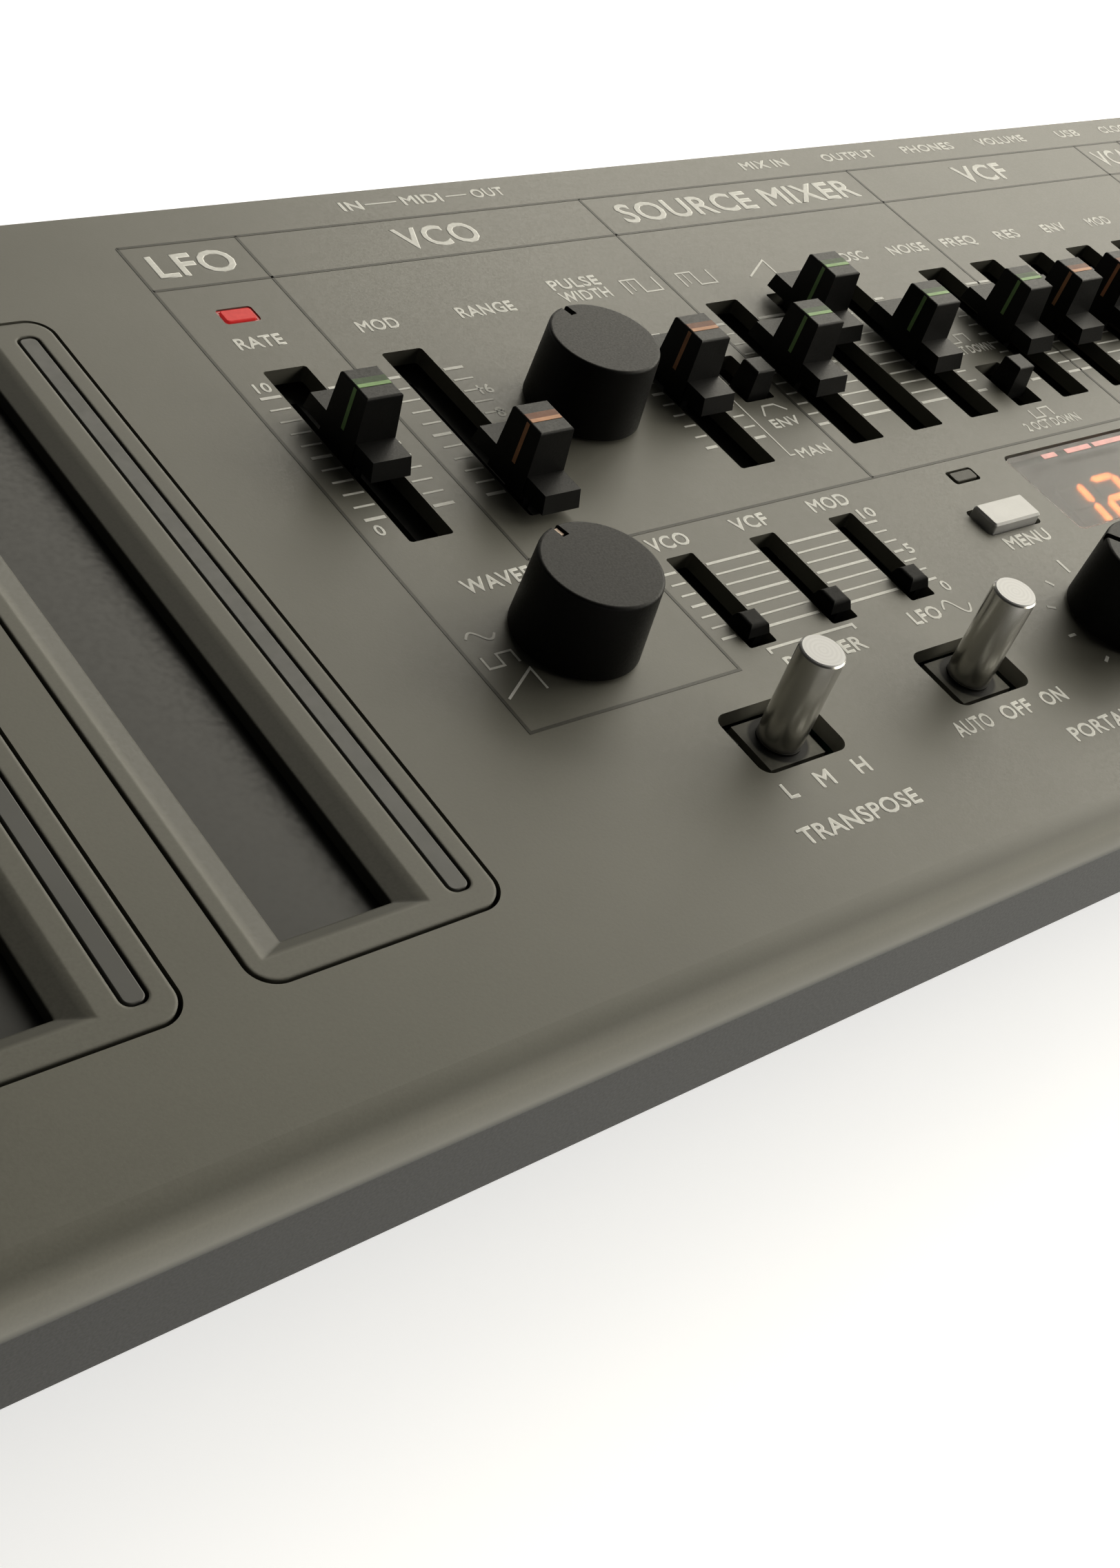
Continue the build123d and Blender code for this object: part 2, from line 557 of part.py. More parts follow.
with BuildPart() as tact_switches:
    with BuildSketch(Plane.XY.offset(BOARD_TOP)):
        for x, y, hole, cap, height in BUTTONS.values():
            with Locations((x, y)):
                Rectangle(6.0, 6.0)
    extrude(amount=TACT_TOP - 0.8 - BOARD_TOP)
    with BuildSketch(Plane.XY.offset(TACT_TOP - 0.8)):
        for x, y, hole, cap, height in BUTTONS.values():
            with Locations((x, y)):
                Circle(1.6)
    extrude(amount=0.8)
finish(tact_switches, "tact_switches")

# ---------------------------------------------------------------- parts on the main board
with BuildPart() as midi_sockets:
    with BuildSketch(Plane.XZ.offset(-REAR_PANEL_Y[0])):
        with Locations(*[(x, MIDI_Z) for x in MIDI_X]):
            Rectangle(19.8, 19.6)
    extrude(amount=13.0)
    for x in MIDI_X:
        # round collar through the rear panel, with a ring for the plug's shell and five contacts
        with BuildSketch(Plane.XZ.offset(-REAR_PANEL_Y[0] + 0.1)):
            with Locations((x, MIDI_Z)):
                Circle(DIN_R)
        extrude(amount=REAR_PANEL_Y[0] - REAR_PANEL_Y[1])
        with BuildSketch(Plane.XZ.offset(-REAR_PANEL_Y[1] - 0.5)):
            with Locations((x, MIDI_Z)):
                Circle(DIN_R - 0.8)
                Circle(DIN_CORE_R, mode=Mode.SUBTRACT)
        extrude(amount=9.0, mode=Mode.SUBTRACT)
        with BuildSketch(Plane.XZ.offset(-REAR_PANEL_Y[1] - 0.5)):
            with Locations((x, MIDI_Z)):
                with PolarLocations(3.75, 5, start_angle=0, angular_range=180):
                    Circle(0.8)
        extrude(amount=8.0, mode=Mode.SUBTRACT)
finish(midi_sockets, "midi_sockets")

with BuildPart() as audio_jacks:
    with BuildSketch(Plane.XZ.offset(-REAR_PANEL_Y[0])):
        with Locations(*[(x, JACK_Z) for x in JACK_X]):
            Rectangle(9.0, 11.0)
    extrude(amount=14.0)
    with BuildSketch(Plane.XZ.offset(-REAR_PANEL_Y[0])):
        with Locations(*[(x, JACK_Z) for x in JACK_X]):
            Circle(BUSHING_R)
    extrude(amount=REAR_PANEL_Y[0] - JACK_FACE_Y)
    with BuildSketch(Plane.XZ.offset(-REAR_PANEL_Y[1])):
        with Locations(*[(x, JACK_Z) for x in JACK_X]):
            RegularPolygon(4.4, 6)
    extrude(amount=-1.6)
    with BuildSketch(Plane.XZ.offset(-JACK_FACE_Y)):
        with Locations(*[(x, JACK_Z) for x in JACK_X]):
            Circle(JACK_BORE_R)
    extrude(amount=JACK_BORE_L, mode=Mode.SUBTRACT)
finish(audio_jacks, "audio_jacks")

with BuildPart() as usb_socket:
    with BuildSketch(Plane.XZ.offset(-REAR_PANEL_Y[1])):
        with Locations((USB_X, USB_Z)):
            Rectangle(8.2, 3.2)
    extrude(amount=7.0)
    with BuildSketch(Plane.XZ.offset(-REAR_PANEL_Y[1])):
        with Locations((USB_X, USB_Z)):
            Rectangle(7.5, 2.5)
            Rectangle(5.0, 0.8, mode=Mode.SUBTRACT)
    extrude(amount=5.0, mode=Mode.SUBTRACT)
finish(usb_socket, "usb_socket")

# ---------------------------------------------------------------- speaker and batteries
with BuildPart() as speaker:
    with BuildSketch(Plane.XY.offset(FLOOR_Z + CASE_T)):
        with Locations(SPEAKER):
            Circle(18.0)
            Circle(14.5, mode=Mode.SUBTRACT)
    extrude(amount=4.0)
    with BuildSketch(Plane.XY.offset(FLOOR_Z + CASE_T + 2.0)):
        with Locations(SPEAKER):
            Circle(14.5)
    extrude(amount=2.0)
    with BuildSketch(Plane.XY.offset(FLOOR_Z + CASE_T + 4.0)):
        with Locations(SPEAKER):
            Circle(9.0)
    extrude(amount=5.5)
finish(speaker, "speaker")

with BuildPart() as batteries:
    for row_y in CELL_Y:
        for end in (-1, 1):
            cell_x = sum(BAY_X) / 2 + end * (CELL_L / 2 + 0.1)
            with Locations(Pos(cell_x, row_y, CELL_Z) * Rot(0, 90, 0)):
                Cylinder(CELL_R, CELL_L - 1.2)
            with Locations(Pos(cell_x, row_y, CELL_Z) * Rot(0, 90, 0)):
                Cylinder(2.75, CELL_L)
finish(batteries, "batteries")

with BuildPart() as battery_contacts:
    for end in (-1, 1):
        plate_x = sum(BAY_X) / 2 + end * ((BAY_X[1] - BAY_X[0]) / 2 - 0.3)
        with Locations(*[(plate_x, row_y, CELL_Z) for row_y in CELL_Y]):
            Box(0.6, 10.0, 10.0)
        with Locations(*[Pos(plate_x - end, row_y, CELL_Z) * Rot(0, 90, 0) for row_y in CELL_Y]):
            Cylinder(2.4, 1.6)
finish(battery_contacts, "battery_contacts")


# ---------------------------------------------------------------- moving controls
def slider(x, y):
    """Long-slot slider: tapered cap with a finger rest before and behind it, and its blade stem."""
    with BuildPart() as control:
        with BuildSketch(Plane((x, y, PANEL_TOP + FOOT_LIFT))):
            Rectangle(4.9, 13.0)
        with BuildSketch(Plane((x, y, PANEL_TOP + FOOT_H))):
            Rectangle(4.7, 11.9)
        loft()
        with BuildSketch(Plane((x, y, PANEL_TOP + 0.4))):
            Rectangle(5.2, 5.9)
        with BuildSketch(Plane((x, y, PANEL_TOP + FADER_H))):
            Rectangle(4.4, 4.9)
        loft()
        fillet(control.edges().group_by(Axis.Z)[-1], 0.25)
        with BuildSketch(Plane((x, y, PANEL_TOP + 0.4))):
            Rectangle(STEM_W, STEM_L)
        extrude(amount=STEM_FOOT - PANEL_TOP - 0.4)
    return control


def bender_slider(x, y):
    """Short-slot slider: small rounded cap on a blade stem."""
    with BuildPart() as control:
        with BuildSketch(Plane((x, y, PANEL_TOP + 0.3))):
            Rectangle(3.0, 3.2)
        with BuildSketch(Plane((x, y, PANEL_TOP + BENDER_H))):
            Rectangle(2.5, 2.3)
        loft()
        fillet(control.edges().group_by(Axis.Z)[-1], 0.5)
        with BuildSketch(Plane((x, y, PANEL_TOP + 0.3))):
            Rectangle(STEM_W, STEM_L)
        extrude(amount=STEM_FOOT - PANEL_TOP - 0.3)
    return control


def selector(x, y):
    """Three-position selector: square cap on a square stem."""
    with BuildPart() as control:
        with BuildSketch(Plane((x, y, PANEL_TOP - 1.0))):
            Rectangle(3.4, 3.4)
        with BuildSketch(Plane((x, y, PANEL_TOP + SELECTOR_H))):
            Rectangle(2.8, 2.8)
        loft()
        fillet(control.edges().group_by(Axis.Z)[-1], 0.25)
        with BuildSketch(Plane((x, y, PANEL_TOP - 1.0))):
            Rectangle(SWITCH_STEM, SWITCH_STEM)
        extrude(amount=STEM_FOOT - PANEL_TOP + 1.0)
    return control


def knob(x, y, pointer):
    """Tapered knob with a notch at the rim, fixed to its shaft."""
    with BuildPart() as control:
        with BuildSketch(Plane((x, y, PANEL_TOP + 0.5))):
            Circle(KNOB_BASE_D / 2)
        with BuildSketch(Plane((x, y, PANEL_TOP + KNOB_H))):
            Circle(KNOB_TOP_D / 2)
        loft()
        fillet(control.edges().group_by(Axis.Z)[-1], 0.35)
        with BuildSketch(Plane((x, y, PANEL_TOP + KNOB_H), x_dir=(1, 0, 0), z_dir=(0, 0, 1))):
            with PolarLocations(KNOB_TOP_D / 2 - 0.7, 1, start_angle=pointer):
                Rectangle(2.0, 0.9)
        extrude(amount=-0.8, mode=Mode.SUBTRACT)
        with BuildSketch(Plane((x, y, PANEL_TOP + 0.5))):
            Circle(SHAFT_D / 2)
        extrude(amount=SHAFT_FOOT - PANEL_TOP - 0.5)
    return control


def lever(x, y):
    """Round toggle lever with a collar plate and trunnions, upright in its middle position."""
    with BuildPart() as control:
        with BuildSketch(Plane((x, y, LEVER_PIVOT_Z + 1.0))):
            Circle(LEVER_D / 2)
        extrude(amount=LEVER_TOP - LEVER_PIVOT_Z - 1.0)
        chamfer(control.edges().group_by(Axis.Z)[-1], 0.25)
        with BuildSketch(Plane.XZ.offset(-y)):
            with Locations((x, LEVER_PIVOT_Z)):
                Circle(HUB_R)
        extrude(amount=HUB_R, both=True)
        with BuildSketch(Plane.XZ.offset(-y)):
            with Locations((x, LEVER_PIVOT_Z)):
                Circle(TRUNNION_R)
        extrude(amount=TRUNNION_L / 2, both=True)
        with BuildSketch(Plane((x, y, COLLAR_Z))):
            Rectangle(7.4, 6.2)
        extrude(amount=0.8)
    return control


def button(x, y, cap, height):
    """Push button: chamfered cap, retaining flange under the panel, plunger."""
    with BuildPart() as control:
        with BuildSketch(Plane((x, y, PANEL_UNDER - GAP - FLANGE_T))):
            RectangleRounded(*cap, 0.4)
        extrude(amount=PANEL_TOP + height - PANEL_UNDER + GAP + FLANGE_T)
        chamfer(control.faces().sort_by(Axis.Z)[-1].edges(), 0.25)
        with BuildSketch(Plane((x, y, PANEL_UNDER - GAP))):
            Rectangle(cap[0] + 2.2, cap[1] + 2.2)
        extrude(amount=-FLANGE_T)
        with BuildSketch(Plane((x, y, PANEL_UNDER - GAP - FLANGE_T))):
            Circle(1.5)
        extrude(amount=TACT_TOP + BUTTON_TRAVEL + 0.2 - (PANEL_UNDER - GAP - FLANGE_T))
    return control


for name, (x, value) in FADERS.items():
    finish(slider(x, fader_rest_y(value)), name)
for name, x in BENDERS.items():
    finish(bender_slider(x, BENDER_REST_Y), name)
for name, (x, y, rest_y) in SELECTORS.items():
    finish(selector(x, rest_y), name)
for name, (x, y, pointer) in KNOBS.items():
    finish(knob(x, y, pointer), name)
for name, (x, y) in LEVERS.items():
    finish(lever(x, y), name)
for name, (x, y, hole, cap, height) in BUTTONS.items():
    finish(button(x, y, cap, height), name)

with BuildPart() as volume_knob:
    with BuildSketch(Plane.XZ.offset(-REAR_PANEL_Y[1] - 0.6)):
        with Locations((VOLUME_X, JACK_Z)):
            Circle(VOLUME_R)
    extrude(amount=REAR_PANEL_Y[1] + 0.6 - BACK)
    fillet(volume_knob.edges().group_by(Axis.Y)[-1], 0.6)
    with BuildSketch(Plane.XZ.offset(-BACK)):
        with Locations((VOLUME_X, JACK_Z + VOLUME_R - 1.2)):
            Rectangle(0.8, 2.6)
    extrude(amount=0.8, mode=Mode.SUBTRACT)
    with BuildSketch(Plane.XZ.offset(-REAR_PANEL_Y[1] - 0.6)):
        with Locations((VOLUME_X, JACK_Z)):
            Circle(SHAFT_D / 2)
    extrude(amount=REAR_PANEL_Y[1] - REAR_PANEL_Y[0] + 0.6 + 6.0)
finish(volume_knob, "volume_knob")

with BuildPart() as power_switch:
    with BuildSketch(Plane.XZ.offset(-REAR_PANEL_Y[0] + 3.2)):
        with Locations((POWER_X - POWER_TRAVEL / 2, JACK_Z)):
            Rectangle(POWER_STEM, POWER_STEM)
    extrude(amount=REAR_PANEL_Y[0] - 3.2 - REAR_PANEL_Y[1] - 1.6)
    with BuildSketch(Plane.XZ.offset(-REAR_PANEL_Y[1] - 1.6)):
        with Locations((POWER_X - POWER_TRAVEL / 2, JACK_Z)):
            with GridLocations(0.9, 1, 3, 1):
                Rectangle(0.35, POWER_STEM)
    extrude(amount=0.4, mode=Mode.SUBTRACT)
finish(power_switch, "power_switch")
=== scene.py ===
"""Looks of the desktop synthesizer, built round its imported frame.  Lengths below are in millimetres."""

import json
import math

import bmesh
import bpy
from mathutils import Matrix, Vector


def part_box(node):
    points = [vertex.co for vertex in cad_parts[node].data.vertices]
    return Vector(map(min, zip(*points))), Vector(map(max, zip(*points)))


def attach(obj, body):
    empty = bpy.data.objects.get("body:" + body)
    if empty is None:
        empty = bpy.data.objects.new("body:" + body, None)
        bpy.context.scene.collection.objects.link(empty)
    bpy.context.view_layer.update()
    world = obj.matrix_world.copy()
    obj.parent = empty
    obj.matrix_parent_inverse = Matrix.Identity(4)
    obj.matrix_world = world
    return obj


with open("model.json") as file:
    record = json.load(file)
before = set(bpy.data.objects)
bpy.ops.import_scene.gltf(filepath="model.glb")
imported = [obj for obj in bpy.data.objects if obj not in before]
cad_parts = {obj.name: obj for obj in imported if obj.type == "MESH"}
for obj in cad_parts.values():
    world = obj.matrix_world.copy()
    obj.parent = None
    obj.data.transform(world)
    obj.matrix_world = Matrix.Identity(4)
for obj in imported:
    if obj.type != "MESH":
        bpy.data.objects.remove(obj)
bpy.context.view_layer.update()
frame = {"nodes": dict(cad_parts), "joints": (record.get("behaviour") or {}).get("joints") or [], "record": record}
nodes = frame["nodes"]
joints = {joint["child"]: joint for joint in frame["joints"]}

MM = 0.001
PANEL_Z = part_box("ribbon_bezels")[1].z / MM    # top of the metal panel
INK = 0.03                                     # how far printing stands on the panel


# ---------------------------------------------------------------- places read from the frame
def middle(node):
    """Centre of a CAD node's box in millimetres."""
    low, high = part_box(node)
    return (low + high) / 2 / MM


def travel(node):
    """Lowest and highest Y of the middle of a slider, in millimetres."""
    y = middle(node).y
    low, high = joints[node]["range_m"]
    return y + low / MM, y + high / MM


cover_low, cover_high = (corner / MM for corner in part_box("top_cover"))
REAR = cover_high.y

# ---------------------------------------------------------------- camera
CAMERA_AT = (-188.1, -122.7, 157.3)
CAMERA_TURN = (46.315, -16.760, -36.985)
LENS = 47.68

camera_data = bpy.data.cameras.new("camera")
camera_data.lens = LENS
camera_data.sensor_width = 36.0
camera_data.clip_start = 0.005
camera_data.clip_end = 50.0
camera = bpy.data.objects.new("camera", camera_data)
camera.location = Vector(CAMERA_AT) * MM
camera.rotation_euler = [math.radians(turn) for turn in CAMERA_TURN]
bpy.context.scene.collection.objects.link(camera)
bpy.context.scene.camera = camera
bpy.context.scene.view_settings.view_transform = "Standard"


# ---------------------------------------------------------------- materials
def new_material(name):
    """An empty node material: its node tree, its shader and its object coordinates."""
    material = bpy.data.materials.new(name)
    material.use_nodes = True
    tree = material.node_tree
    shader = tree.nodes["Principled BSDF"]
    place = tree.nodes.new("ShaderNodeTexCoord").outputs["Object"]
    return material, tree, shader, place


def noise(tree, place, scale, detail=2.0, stretch=(1, 1, 1)):
    """Noise whose cells are about 1/scale metres across."""
    mapping = tree.nodes.new("ShaderNodeMapping")
    mapping.inputs["Scale"].default_value = stretch
    texture = tree.nodes.new("ShaderNodeTexNoise")
    texture.inputs["Scale"].default_value = scale
    texture.inputs["Detail"].default_value = detail
    tree.links.new(place, mapping.inputs["Vector"])
    tree.links.new(mapping.outputs["Vector"], texture.inputs["Vector"])
    return texture.outputs["Fac"]


def ramp(tree, value, low, high, start=0.35, end=0.65):
    """Colour running from low to high as value runs from start to end."""
    node = tree.nodes.new("ShaderNodeValToRGB")
    node.color_ramp.elements[0].position = start
    node.color_ramp.elements[0].color = (*low, 1)
    node.color_ramp.elements[1].position = end
    node.color_ramp.elements[1].color = (*high, 1)
    tree.links.new(value, node.inputs["Fac"])
    return node.outputs["Color"]


def spread(tree, value, low, high):
    """Value from 0.3..0.7 stretched to low..high."""
    node = tree.nodes.new("ShaderNodeMapRange")
    node.inputs["From Min"].default_value = 0.3
    node.inputs["From Max"].default_value = 0.7
    node.inputs["To Min"].default_value = low
    node.inputs["To Max"].default_value = high
    tree.links.new(value, node.inputs["Value"])
    return node.outputs["Result"]


def bump(tree, shader, value, depth, strength=1.0):
    """Relief of the given depth in millimetres."""
    node = tree.nodes.new("ShaderNodeBump")
    node.inputs["Strength"].default_value = strength
    node.inputs["Distance"].default_value = depth * MM
    tree.links.new(value, node.inputs["Height"])
    tree.links.new(node.outputs["Normal"], shader.inputs["Normal"])


def axis_of(tree, place, axis):
    """One coordinate of the object's own space, in metres."""
    parts = tree.nodes.new("ShaderNodeSeparateXYZ")
    tree.links.new(place, parts.inputs["Vector"])
    return parts.outputs[axis]


def step_up(tree, place, axis, start, end):
    """0 before start and 1 after end along one axis, in millimetres."""
    node = tree.nodes.new("ShaderNodeMapRange")
    node.inputs["From Min"].default_value = start * MM
    node.inputs["From Max"].default_value = end * MM
    tree.links.new(axis_of(tree, place, axis), node.inputs["Value"])
    return node.outputs["Result"]


def multiply(tree, first, second):
    """Product of two values, the second a socket or a number."""
    node = tree.nodes.new("ShaderNodeMath")
    node.operation = "MULTIPLY"
    tree.links.new(first, node.inputs[0])
    if isinstance(second, (int, float)):
        node.inputs[1].default_value = second
    else:
        tree.links.new(second, node.inputs[1])
    return node.outputs["Value"]


def blend_values(tree, first, second, share):
    """first * (1 - share) + second * share."""
    node = tree.nodes.new("ShaderNodeMath")
    node.operation = "MULTIPLY_ADD"
    node.inputs[1].default_value = share
    tree.links.new(second, node.inputs[0])
    tree.links.new(multiply(tree, first, 1 - share), node.inputs[2])
    return node.outputs["Value"]


def mix_colours(tree, factor, first, second):
    """first where the factor is 0, second where it is 1."""
    node = tree.nodes.new("ShaderNodeMix")
    node.data_type = "RGBA"
    tree.links.new(factor, node.inputs["Factor"])
    tree.links.new(first, node.inputs["A"])
    tree.links.new(second, node.inputs["B"])
    return node.outputs["Result"]


def surface(name, colour, roughness, metallic=0.0, grain=5000, depth=0.01, shade=0.12, specular=0.5,
            mottle=300):
    """Moulded, painted or plated surface: mottled colour, uneven gloss and fine grain."""
    material, tree, shader, place = new_material(name)
    shader.inputs["Metallic"].default_value = metallic
    shader.inputs["Specular IOR Level"].default_value = specular
    patches = noise(tree, place, mottle, 3.0)
    dark = [c * (1 - shade) for c in colour]
    light = [min(1.0, c * (1 + shade)) for c in colour]
    tree.links.new(ramp(tree, patches, dark, light), shader.inputs["Base Color"])
    grains = noise(tree, place, grain)
    gloss = spread(tree, grains, roughness - 0.06, roughness + 0.06)
    tree.links.new(gloss, shader.inputs["Roughness"])
    bump(tree, shader, grains, depth)
    return material


def glowing(name, colour, strength):
    """Lit lens: coloured plastic that also glows unevenly."""
    material, tree, shader, place = new_material(name)
    patches = noise(tree, place, 900)
    dim = [c * 0.8 for c in colour]
    tint = ramp(tree, patches, dim, colour)
    tree.links.new(tint, shader.inputs["Base Color"])
    tree.links.new(tint, shader.inputs["Emission Color"])
    shader.inputs["Emission Strength"].default_value = strength
    shader.inputs["Roughness"].default_value = 0.35
    return material


def panel_metal():
    """Fine blasted and painted metal, with painted shade darkening the skirt and a painted highlight along the
    rounded front edge.
    """
    material, tree, shader, place = new_material("panel_metal")
    shader.inputs["Specular IOR Level"].default_value = 0.3
    speck = noise(tree, place, 3500)
    grain = blend_values(tree, noise(tree, place, 60, 4.0), speck, 0.45)
    upper = step_up(tree, place, "Z", PANEL_Z - 4.4, PANEL_Z - 3.4)
    front = step_up(tree, place, "Y", cover_low.y + 4.6, cover_low.y + 3.6)
    round_low = step_up(tree, place, "Z", PANEL_Z - 0.5, PANEL_Z - 1.6)
    edge = multiply(tree, multiply(tree, upper, front), round_low)
    # painted shade: the front skirt is given a far darker colour than the top, standing in for shade on that face
    skirt_painted_shade = ramp(tree, grain, (0.016, 0.0155, 0.012), (0.021, 0.0203, 0.016), 0.3, 0.7)
    flat = ramp(tree, grain, (0.094, 0.092, 0.078), (0.112, 0.110, 0.094), 0.3, 0.7)
    # painted highlight: a lighter colour on the rounded front edge stands in for the sheen of light there
    painted_edge_highlight = ramp(tree, grain, (0.20, 0.195, 0.17), (0.23, 0.225, 0.195), 0.3, 0.7)
    body = mix_colours(tree, upper, skirt_painted_shade, flat)
    tree.links.new(mix_colours(tree, edge, body, painted_edge_highlight), shader.inputs["Base Color"])
    tree.links.new(spread(tree, speck, 0.43, 0.53), shader.inputs["Roughness"])
    bump(tree, shader, speck, 0.008, 0.6)
    return material


def turned_metal(name, node):
    """Bright lever: polished side, turned rings on its end, and at its foot a near-black ring of painted shade and
    panel paint.
    """
    centre = middle(node)
    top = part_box(node)[1].z / MM
    material, tree, shader, place = new_material(name)
    shader.inputs["Specular IOR Level"].default_value = 0.2
    streaks = noise(tree, place, 700, 2.0, (1, 1, 0.01))
    side = ramp(tree, streaks, (0.56, 0.55, 0.53), (0.66, 0.65, 0.62))
    from_axis = tree.nodes.new("ShaderNodeMapping")
    from_axis.inputs["Location"].default_value = (-centre.x * MM, -centre.y * MM, 0)
    tree.links.new(place, from_axis.inputs["Vector"])
    rings = tree.nodes.new("ShaderNodeTexWave")
    rings.wave_type = "RINGS"
    rings.rings_direction = "Z"
    rings.inputs["Scale"].default_value = 700
    rings.inputs["Distortion"].default_value = 0.8
    tree.links.new(from_axis.outputs["Vector"], rings.inputs["Vector"])
    end = ramp(tree, rings.outputs["Fac"], (0.51, 0.51, 0.52), (0.56, 0.56, 0.57), 0.0, 1.0)
    on_end = step_up(tree, place, "Z", top - 0.12, top - 0.08)
    bare = step_up(tree, place, "Z", PANEL_Z - 0.75, PANEL_Z - 0.70)
    flat = tree.nodes.new("ShaderNodeMapping")
    flat.inputs["Scale"].default_value = (1, 1, 0)
    tree.links.new(from_axis.outputs["Vector"], flat.inputs["Vector"])
    length = tree.nodes.new("ShaderNodeVectorMath")
    length.operation = "LENGTH"
    tree.links.new(flat.outputs["Vector"], length.inputs["Vector"])
    away = tree.nodes.new("ShaderNodeMapRange")
    away.inputs["From Min"].default_value = 3.0 * MM
    away.inputs["From Max"].default_value = 3.3 * MM
    tree.links.new(length.outputs["Value"], away.inputs["Value"])
    # painted shade: a near-black ring round the lever's foot, below the panel, stands in for the shade in the slot
    painted_foot_shade = ramp(tree, streaks, (0.004, 0.004, 0.004), (0.007, 0.007, 0.007))
    paint = ramp(tree, noise(tree, place, 1500), (0.070, 0.068, 0.058), (0.084, 0.082, 0.070))
    plate = mix_colours(tree, away.outputs["Result"], painted_foot_shade, paint)
    bat = mix_colours(tree, on_end, side, end)
    tree.links.new(mix_colours(tree, bare, plate, bat), shader.inputs["Base Color"])
    side_only = step_up(tree, place, "Z", top - 0.08, top - 0.12)
    tree.links.new(multiply(tree, bare, side_only), shader.inputs["Metallic"])
    gloss = tree.nodes.new("ShaderNodeMapRange")
    gloss.inputs["To Min"].default_value = 0.7
    gloss.inputs["To Max"].default_value = 0.26
    tree.links.new(bare, gloss.inputs["Value"])
    tree.links.new(gloss.outputs["Result"], shader.inputs["Roughness"])
    bump(tree, shader, streaks, 0.002, 0.4)
    return material


def lamp_pair():
    """Two lamp lenses in one node: the one left of the middle is lit red, the other is dull grey."""
    material, tree, shader, place = new_material("lamp_red")
    shader.inputs["Specular IOR Level"].default_value = 0.1
    shader.inputs["Roughness"].default_value = 0.4
    split = middle("indicator_leds").x
    lit = step_up(tree, place, "X", split + 1, split - 1)
    grains = noise(tree, place, 1500)
    glow = ramp(tree, grains, (0.36, 0.016, 0.016), (0.40, 0.022, 0.021))
    plain = ramp(tree, grains, (0.046, 0.045, 0.038), (0.056, 0.054, 0.046))
    tree.links.new(mix_colours(tree, lit, plain, glow), shader.inputs["Base Color"])
    tree.links.new(glow, shader.inputs["Emission Color"])
    tree.links.new(multiply(tree, lit, 0.62), shader.inputs["Emission Strength"])
    return material


def smoked_glass():
    """Tinted display window."""
    material, tree, shader, place = new_material("smoked_window")
    shader.inputs["Transmission Weight"].default_value = 1.0
    shader.inputs["IOR"].default_value = 1.18
    shader.inputs["Specular IOR Level"].default_value = 0.05
    tint = ramp(tree, noise(tree, place, 40), (0.40, 0.39, 0.385), (0.44, 0.43, 0.425))
    tree.links.new(tint, shader.inputs["Base Color"])
    tree.links.new(spread(tree, noise(tree, place, 900), 0.21, 0.25), shader.inputs["Roughness"])
    return material


def bezel_plastic():
    """Moulded bezel in the panel's colour, with painted shade darkening the walls of the well."""
    material, tree, shader, place = new_material("bezel_plastic")
    shader.inputs["Specular IOR Level"].default_value = 0.3
    grain = noise(tree, place, 3500)
    on_top = step_up(tree, place, "Z", PANEL_Z - 0.25, PANEL_Z - 0.05)
    # painted shade: the walls of the well get a darker colour than the rim
    painted_wall_shade = ramp(tree, grain, (0.050, 0.049, 0.042), (0.060, 0.059, 0.050), 0.3, 0.7)
    rim = ramp(tree, grain, (0.092, 0.090, 0.077), (0.106, 0.104, 0.089), 0.3, 0.7)
    tree.links.new(mix_colours(tree, on_top, painted_wall_shade, rim), shader.inputs["Base Color"])
    tree.links.new(spread(tree, grain, 0.46, 0.56), shader.inputs["Roughness"])
    bump(tree, shader, grain, 0.006, 0.6)
    soft = tree.nodes.new("ShaderNodeBevel")
    soft.samples = 6
    soft.inputs["Radius"].default_value = 0.4 * MM
    tree.links.new(soft.outputs["Normal"], shader.inputs["Normal"].links[0].from_node.inputs["Normal"])
    return material


